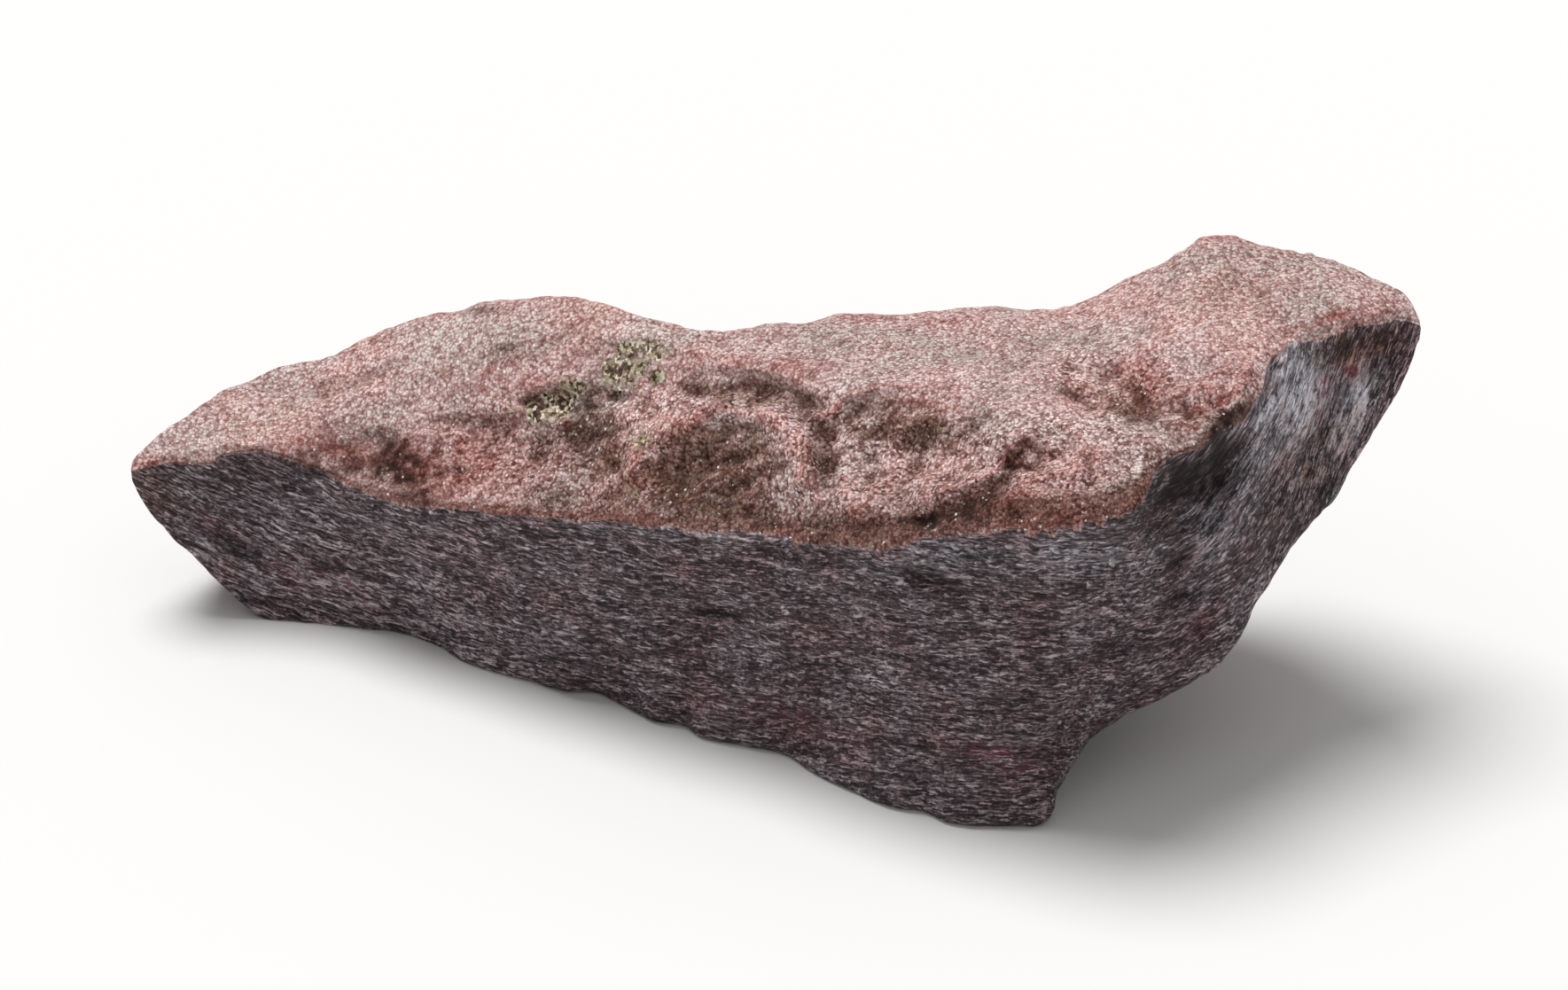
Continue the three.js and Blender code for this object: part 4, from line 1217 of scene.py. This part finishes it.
    def top(self, tree: Tree, place: Socket, marks: Marks) -> tuple[Socket, Socket, Socket]:
        """The weathered top: one tone for each grain over soft mottling, with stains in patches,
        painted shade in crevices and hollows, and painted glints.

        Args:
            tree: where the nodes go.
            place: object coordinates in millimetres.
            marks: the mesh's attributes.

        Returns:
            Colour, height in millimetres, and roughness.
        """
        bent = self.wandered(tree, place, *self.grain_wander)
        cells = add(tree, "TexVoronoi", {"Vector": bent, "Scale": 1 / self.grain})
        clumps = add(tree, "TexVoronoi", {"Vector": bent, "Scale": 1 / self.clump})
        between = cells["Distance"]
        lot = add(tree, "SeparateColor", {0: cells["Color"]})
        clump = add(tree, "SeparateColor", {0: clumps["Color"]})
        inputs = {"Vector": place, "Scale": 1 / self.pit, "Detail": 4.0, "Roughness": 0.7}
        grit = add(tree, "TexNoise", inputs)[0]
        inputs = {"Vector": place, "Scale": 1 / self.mottle, "Detail": 3.0}
        mottle = add(tree, "TexNoise", inputs)[0]
        # Tone about its middle; the broken flank keeps more contrast than the smoothed slopes.
        tone = summed(tree, -1.02, (lot[0], 0.7), (clump[0], 0.14), (grit, 0.85), (mottle, 0.35))
        spread = add(tree, "MapRange", {0: marks["fresh"], 3: 0.7, 4: 1.15})[0]
        # Worn patches are lighter; on the right face this is painted sky light.
        tone = summed(tree, summed(tree, 0.595, (marks["worn"], 0.13)), (tone, spread))
        colour = add(tree, "ValToRGB", {0: tone}, self.grain_tones)[0]
        gap = add(tree, "MapRange", {0: between, 1: 0.38, 2: 0.76})[0]
        inputs = {"Vector": place, "Scale": 1 / self.cloud, "Detail": 2.0}
        cloud = add(tree, "TexNoise", inputs)[0]
        rosy = add(tree, "MapRange", {0: cloud, 1: 0.42, 2: 0.62})[0]
        grey = add(tree, "MapRange", {0: cloud, 1: 0.5, 2: 0.34})[0]
        crevice_shade = add(tree, "MapRange", {0: marks["proud"], 1: -0.05, 2: -0.45})[0]
        edge = add(tree, "MapRange", {0: marks["proud"], 1: 0.1, 2: 0.5})[0]
        lichen = self.lichen(tree, place, marks)
        # Between the grains lies the iron stain that makes the stone red.
        ground = (gap, "c39d96"), (rosy, "ffeeeb"), (grey, "f0f0ec")
        # Painted shade: crevices are darkened by how far they sink below their surroundings. Convex
        # edges turn redder.
        relief = (crevice_shade, "a08a80"), (edge, "fbe2e0")
        # The brown wash of the scars is partly weathering and partly painted shade.
        patches = (marks["olive_and_shade"], "a8988a"), (marks["red"], "cfa29c"), (marks["pale"], "eef4f0")
        # Lichen and the brown strip are the stone's own; the last wash is painted shade in the
        # cave, hollows, pits and nicks.
        growth_and_shade = (marks["strip"], "a79188"), (lichen, "938773"), (marks["dark"], "5f5349")
        colour = stained_and_shaded(tree, colour, *ground, *relief, *patches, *growth_and_shade)
        colour = self.speckled(tree, colour, place, lichen)
        # Painted highlight: a few grains are painted near white as glints, and made glossier.
        painted_glint = self.painted_glints(tree, place, marks)
        inputs = {0: painted_glint, 6: colour, 7: linear("fbf6f3")}
        colour = add(tree, "Mix", inputs, data_type="RGBA")[2]
        inputs = {0: painted_glint, 3: self.top_roughness, 4: self.glint_roughness}
        gloss = add(tree, "MapRange", inputs)[0]
        grains = (between, -0.11), (lot[2], 0.12), (clump[1], 0.1)
        height = summed(tree, 0.0, *grains, (grit, 0.4), (mottle, 0.4))
        depth = add(tree, "MapRange", {0: marks["fresh"], 3: 0.75, 4: 1.0})[0]
        height = add(tree, "Math", {0: height, 1: depth}, operation="MULTIPLY")[0]
        return colour, height, gloss

    def painted_glints(self, tree: Tree, place: Socket, marks: Marks) -> Socket:
        """Painted glints: a grain in a hundred, more where it is broken, painted near white as a
        highlight.

        Args:
            tree: where the nodes go.
            place: object coordinates in millimetres.
            marks: the mesh's attributes.

        Returns:
            How strongly each painted glint is mixed in, 0 elsewhere.
        """
        bent = self.wandered(tree, place, *self.glint_wander)
        cells = add(tree, "TexVoronoi", {"Vector": bent, "Scale": 1 / self.glint})
        lot = add(tree, "SeparateColor", {0: cells["Color"]})
        chance = summed(tree, lot[0], (marks["fresh"], 0.018))
        rare = add(tree, "MapRange", {0: chance, 1: 0.982, 2: 0.986})[0]
        core = add(tree, "MapRange", {0: cells["Distance"], 1: 0.6, 2: 0.3})[0]
        painted_glint = add(tree, "Math", {0: rare, 1: core}, operation="MULTIPLY")[0]
        return add(tree, "Math", {0: painted_glint, 1: lot[1]}, operation="MULTIPLY")[0]

    def lichen(self, tree: Tree, place: Socket, marks: Marks) -> Socket:
        """Where the dark green-grey crust of lichen has spread, with ragged edges, in its patches.

        Args:
            tree: where the nodes go.
            place: object coordinates in millimetres.
            marks: the mesh's attributes.

        Returns:
            How thick the crust is, from 0 to 1.
        """
        inputs = {"Vector": place, "Scale": 1 / self.lobe, "Detail": 4.0, "Roughness": 0.65}
        grown = add(tree, "TexNoise", inputs)[0]
        reach = summed(tree, grown, (marks["lichen"], 0.42))
        return add(tree, "MapRange", {0: reach, 1: 0.6, 2: 0.82})[0]

    def speckled(self, tree: Tree, colour: Socket, place: Socket, crust: Socket) -> Socket:
        """Scatters pale yellow-green specks of young lichen over its crust.

        Args:
            tree: where the nodes go.
            colour: the colour under them.
            place: object coordinates in millimetres.
            crust: how thick the lichen's crust is.

        Returns:
            The colour with its specks.
        """
        bent = self.wandered(tree, place, *self.speck_wander)
        specks = add(tree, "TexVoronoi", {"Vector": bent, "Scale": 1 / self.speck})
        lot = add(tree, "SeparateColor", {0: specks["Color"]})
        inputs = {"Vector": place, "Scale": 1 / self.colony, "Detail": 2.0}
        chance = summed(tree, lot[0], (add(tree, "TexNoise", inputs)[0], 0.9))
        bright = add(tree, "MapRange", {0: chance, 1: 0.9, 2: 1.02})[0]
        bright = add(tree, "Math", {0: bright, 1: crust}, operation="MULTIPLY")[0]
        pale = add(tree, "ValToRGB", {0: lot[1]}, self.lichen_tones)[0]
        return add(tree, "Mix", {0: bright, 6: colour, 7: pale}, data_type="RGBA")[2]

    def drawn(self, tree: Tree, flow: Socket, steps: tuple[float, float, float]) -> Socket:
        """The places squeezed so that a pattern of size one is drawn out along the lineation."""
        inputs = {0: flow, 1: tuple(1 / step for step in steps)}
        return add(tree, "VectorMath", inputs, operation="MULTIPLY")[0]

    def face(self, tree: Tree, place: Socket, marks: Marks) -> tuple[Socket, Socket]:
        """The dark joint faces: short pale and dark wisps along the lineation, on red, with a
        painted bluish sky sheen and painted shade in hollows.

        Args:
            tree: where the nodes go.
            place: object coordinates in millimetres.
            marks: the mesh's attributes.

        Returns:
            Colour, and height in millimetres.
        """
        streaks = add(tree, "Attribute", {}, attribute_name="streaks")["Vector"]
        flow = self.wandered(tree, streaks, *self.streak_wander)
        patterns = []
        for steps, detail in ((self.wisp, 4.0), (self.thread, 2.0), (self.band, 2.0)):
            inputs = {"Vector": self.drawn(tree, flow, steps), "Scale": 1.0}
            inputs |= {"Detail": detail, "Roughness": 0.68}
            patterns.append(add(tree, "TexNoise", inputs)[0])
        wisp, thread, band = patterns
        inputs = {"Vector": self.drawn(tree, flow, self.dash), "Scale": 1.0}
        dashes = add(tree, "TexVoronoi", inputs)["Color"]
        dash = add(tree, "SeparateColor", {0: dashes})
        # A pale thread runs wherever the second pattern crosses its middle value.
        middle = add(tree, "Math", {0: thread, 1: 0.5}, operation="SUBTRACT")[0]
        away = add(tree, "Math", {0: middle}, operation="ABSOLUTE")[0]
        pale = add(tree, "MapRange", {0: away, 1: 0.05, 2: 0.0})[0]
        inputs = {"Vector": place, "Scale": 1 / self.face_grit, "Detail": 3.0}
        grit = add(tree, "TexNoise", inputs)[0]
        along = (wisp, 1.7), (band, 0.8), (grit, 0.8), (pale, 0.25), (dash[0], 0.55)
        # Worn patches lighten the wisps; on the right face this is painted sky light.
        tone = summed(tree, -1.48, *along, (marks["worn"], 0.2))
        colour = add(tree, "ValToRGB", {0: tone}, self.wisp_tones)[0]
        # Painted sky light: where it catches the faces, the wisps are drawn paler and bluish.
        sky_sheen = add(tree, "ValToRGB", {0: tone}, self.sky_sheen_tones)[0]
        inputs = {0: marks["sky_sheen"], 6: colour, 7: sky_sheen}
        colour = add(tree, "Mix", inputs, data_type="RGBA")[2]
        # Crimson grains lie scattered among the wisps.
        wine = add(tree, "MapRange", {0: dash[2], 1: 0.7, 2: 0.4, 4: marks["maroon"]})[0]
        inputs = {0: wine, 6: colour, 7: linear("8c4853")}
        colour = add(tree, "Mix", inputs, data_type="RGBA")[2]
        inputs = {"Vector": place, "Scale": 1 / self.rust, "Detail": 2.0}
        cloud = add(tree, "TexNoise", inputs)[0]
        rust = add(tree, "MapRange", {0: cloud, 1: 0.45, 2: 0.65})[0]
        # Painted shade: the dark wash darkens the cave, hollows and lenses, and the brown wash of
        # the scars is partly painted shade.
        stains = (rust, "f8e4e0"), (marks["olive_and_shade"], "f0d8c4"), (marks["dark"], "6f6768")
        colour = stained_and_shaded(tree, colour, *stains)
        height = summed(tree, 0.0, (wisp, 0.4), (grit, 0.3), (pale, 0.08), (dash[1], 0.08))
        return colour, height


@dataclass(frozen=True)
class Studio:
    """A pale table under a large soft light, with a long lens that looks down at 30 degrees.

    Sizes are millimetres, apart from the floor's half width, which is metres.
    """

    aim: tuple[float, float, float] = (1.14, 29.1, 24.2)
    frame_width: float = 168.06
    sensor: float = 36
    lens: float = 800
    elevation: float = 30
    floor_half: float = 6.0
    floor_colour: str = "e9e8e6"
    floor_roughness: float = 0.9
    sun_from: tuple[float, float, float] = (-0.25, 0.22, 1)
    sun_angle: float = 32
    sun_strength: float = 2.7
    sky: str = "ffffff"
    sky_strength: float = 0.42

    def build(self, shift: Array) -> None:
        """Makes the floor, the lights and the camera.

        Args:
            shift: from the stone's layout to the frame, in millimetres.
        """
        self.floor()
        self.light()
        self.camera((np.array(self.aim) + shift) * MM)

    def floor(self) -> bpy.types.Object:
        """A plain matt table top, level with the stone's bed.

        Returns:
            The table's object.
        """
        half = self.floor_half
        corners = [(-half, -half, 0), (half, -half, 0), (half, half, 0), (-half, half, 0)]
        mesh = bpy.data.meshes.new("table")
        mesh.from_pydata(corners, [], [(0, 1, 2, 3)])
        # Matt white board, which gives the eye an even pale ground with no glare.
        material = bpy.data.materials.new("matt_white_board")
        material.use_nodes = True
        shader = material.node_tree.nodes["Principled BSDF"]
        shader.inputs["Base Color"].default_value = linear(self.floor_colour)
        shader.inputs["Roughness"].default_value = self.floor_roughness
        shader.inputs["Specular IOR Level"].default_value = 0.0
        mesh.materials.append(material)
        table = bpy.data.objects.new("table", mesh)
        bpy.context.scene.collection.objects.link(table)
        return table

    def light(self) -> None:
        """One broad lamp from above and a little behind, and an even white sky."""
        lamp = bpy.data.lights.new("soft_key", "SUN")
        lamp.energy = self.sun_strength
        lamp.angle = math.radians(self.sun_angle)
        key = bpy.data.objects.new("soft_key", lamp)
        key.rotation_euler = Vector(self.sun_from).to_track_quat("Z", "Y").to_euler()
        bpy.context.scene.collection.objects.link(key)
        world = bpy.data.worlds.new("studio")
        world.use_nodes = True
        sky = world.node_tree.nodes["Background"]
        sky.inputs["Color"].default_value = linear(self.sky)
        sky.inputs["Strength"].default_value = self.sky_strength
        bpy.context.scene.world = world
        bpy.context.scene.view_settings.view_transform = "Standard"

    def camera(self, aim: Array) -> None:
        """A long lens whose frame is as wide at the stone as the photograph's.

        Args:
            aim: the middle of the frame, in metres.
        """
        data = bpy.data.cameras.new("camera")
        data.sensor_width = self.sensor
        data.lens = self.lens
        distance = self.lens * self.frame_width / self.sensor * MM
        data.clip_end = 4 * distance
        tilt = math.radians(self.elevation)
        camera = bpy.data.objects.new("camera", data)
        camera.location = Vector(aim) + distance * Vector((0, -math.cos(tilt), math.sin(tilt)))
        camera.rotation_euler = (math.pi / 2 - tilt, 0, 0)
        bpy.context.scene.collection.objects.link(camera)
        bpy.context.scene.camera = camera


def main() -> None:
    """Builds the stone and the studio."""
    logging.basicConfig(level=logging.INFO, format="%(message)s")
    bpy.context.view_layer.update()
    stone = RoughStone()
    piece = stone.build()
    stone.dress(piece, WeatheredQuartzite())
    log.info("%s: %d faces", piece.name, len(piece.data.polygons))
    Studio().build(stone.shift())
    log.info("studio: %s", bpy.context.scene.camera.name)


if __name__ == "__main__":
    main()
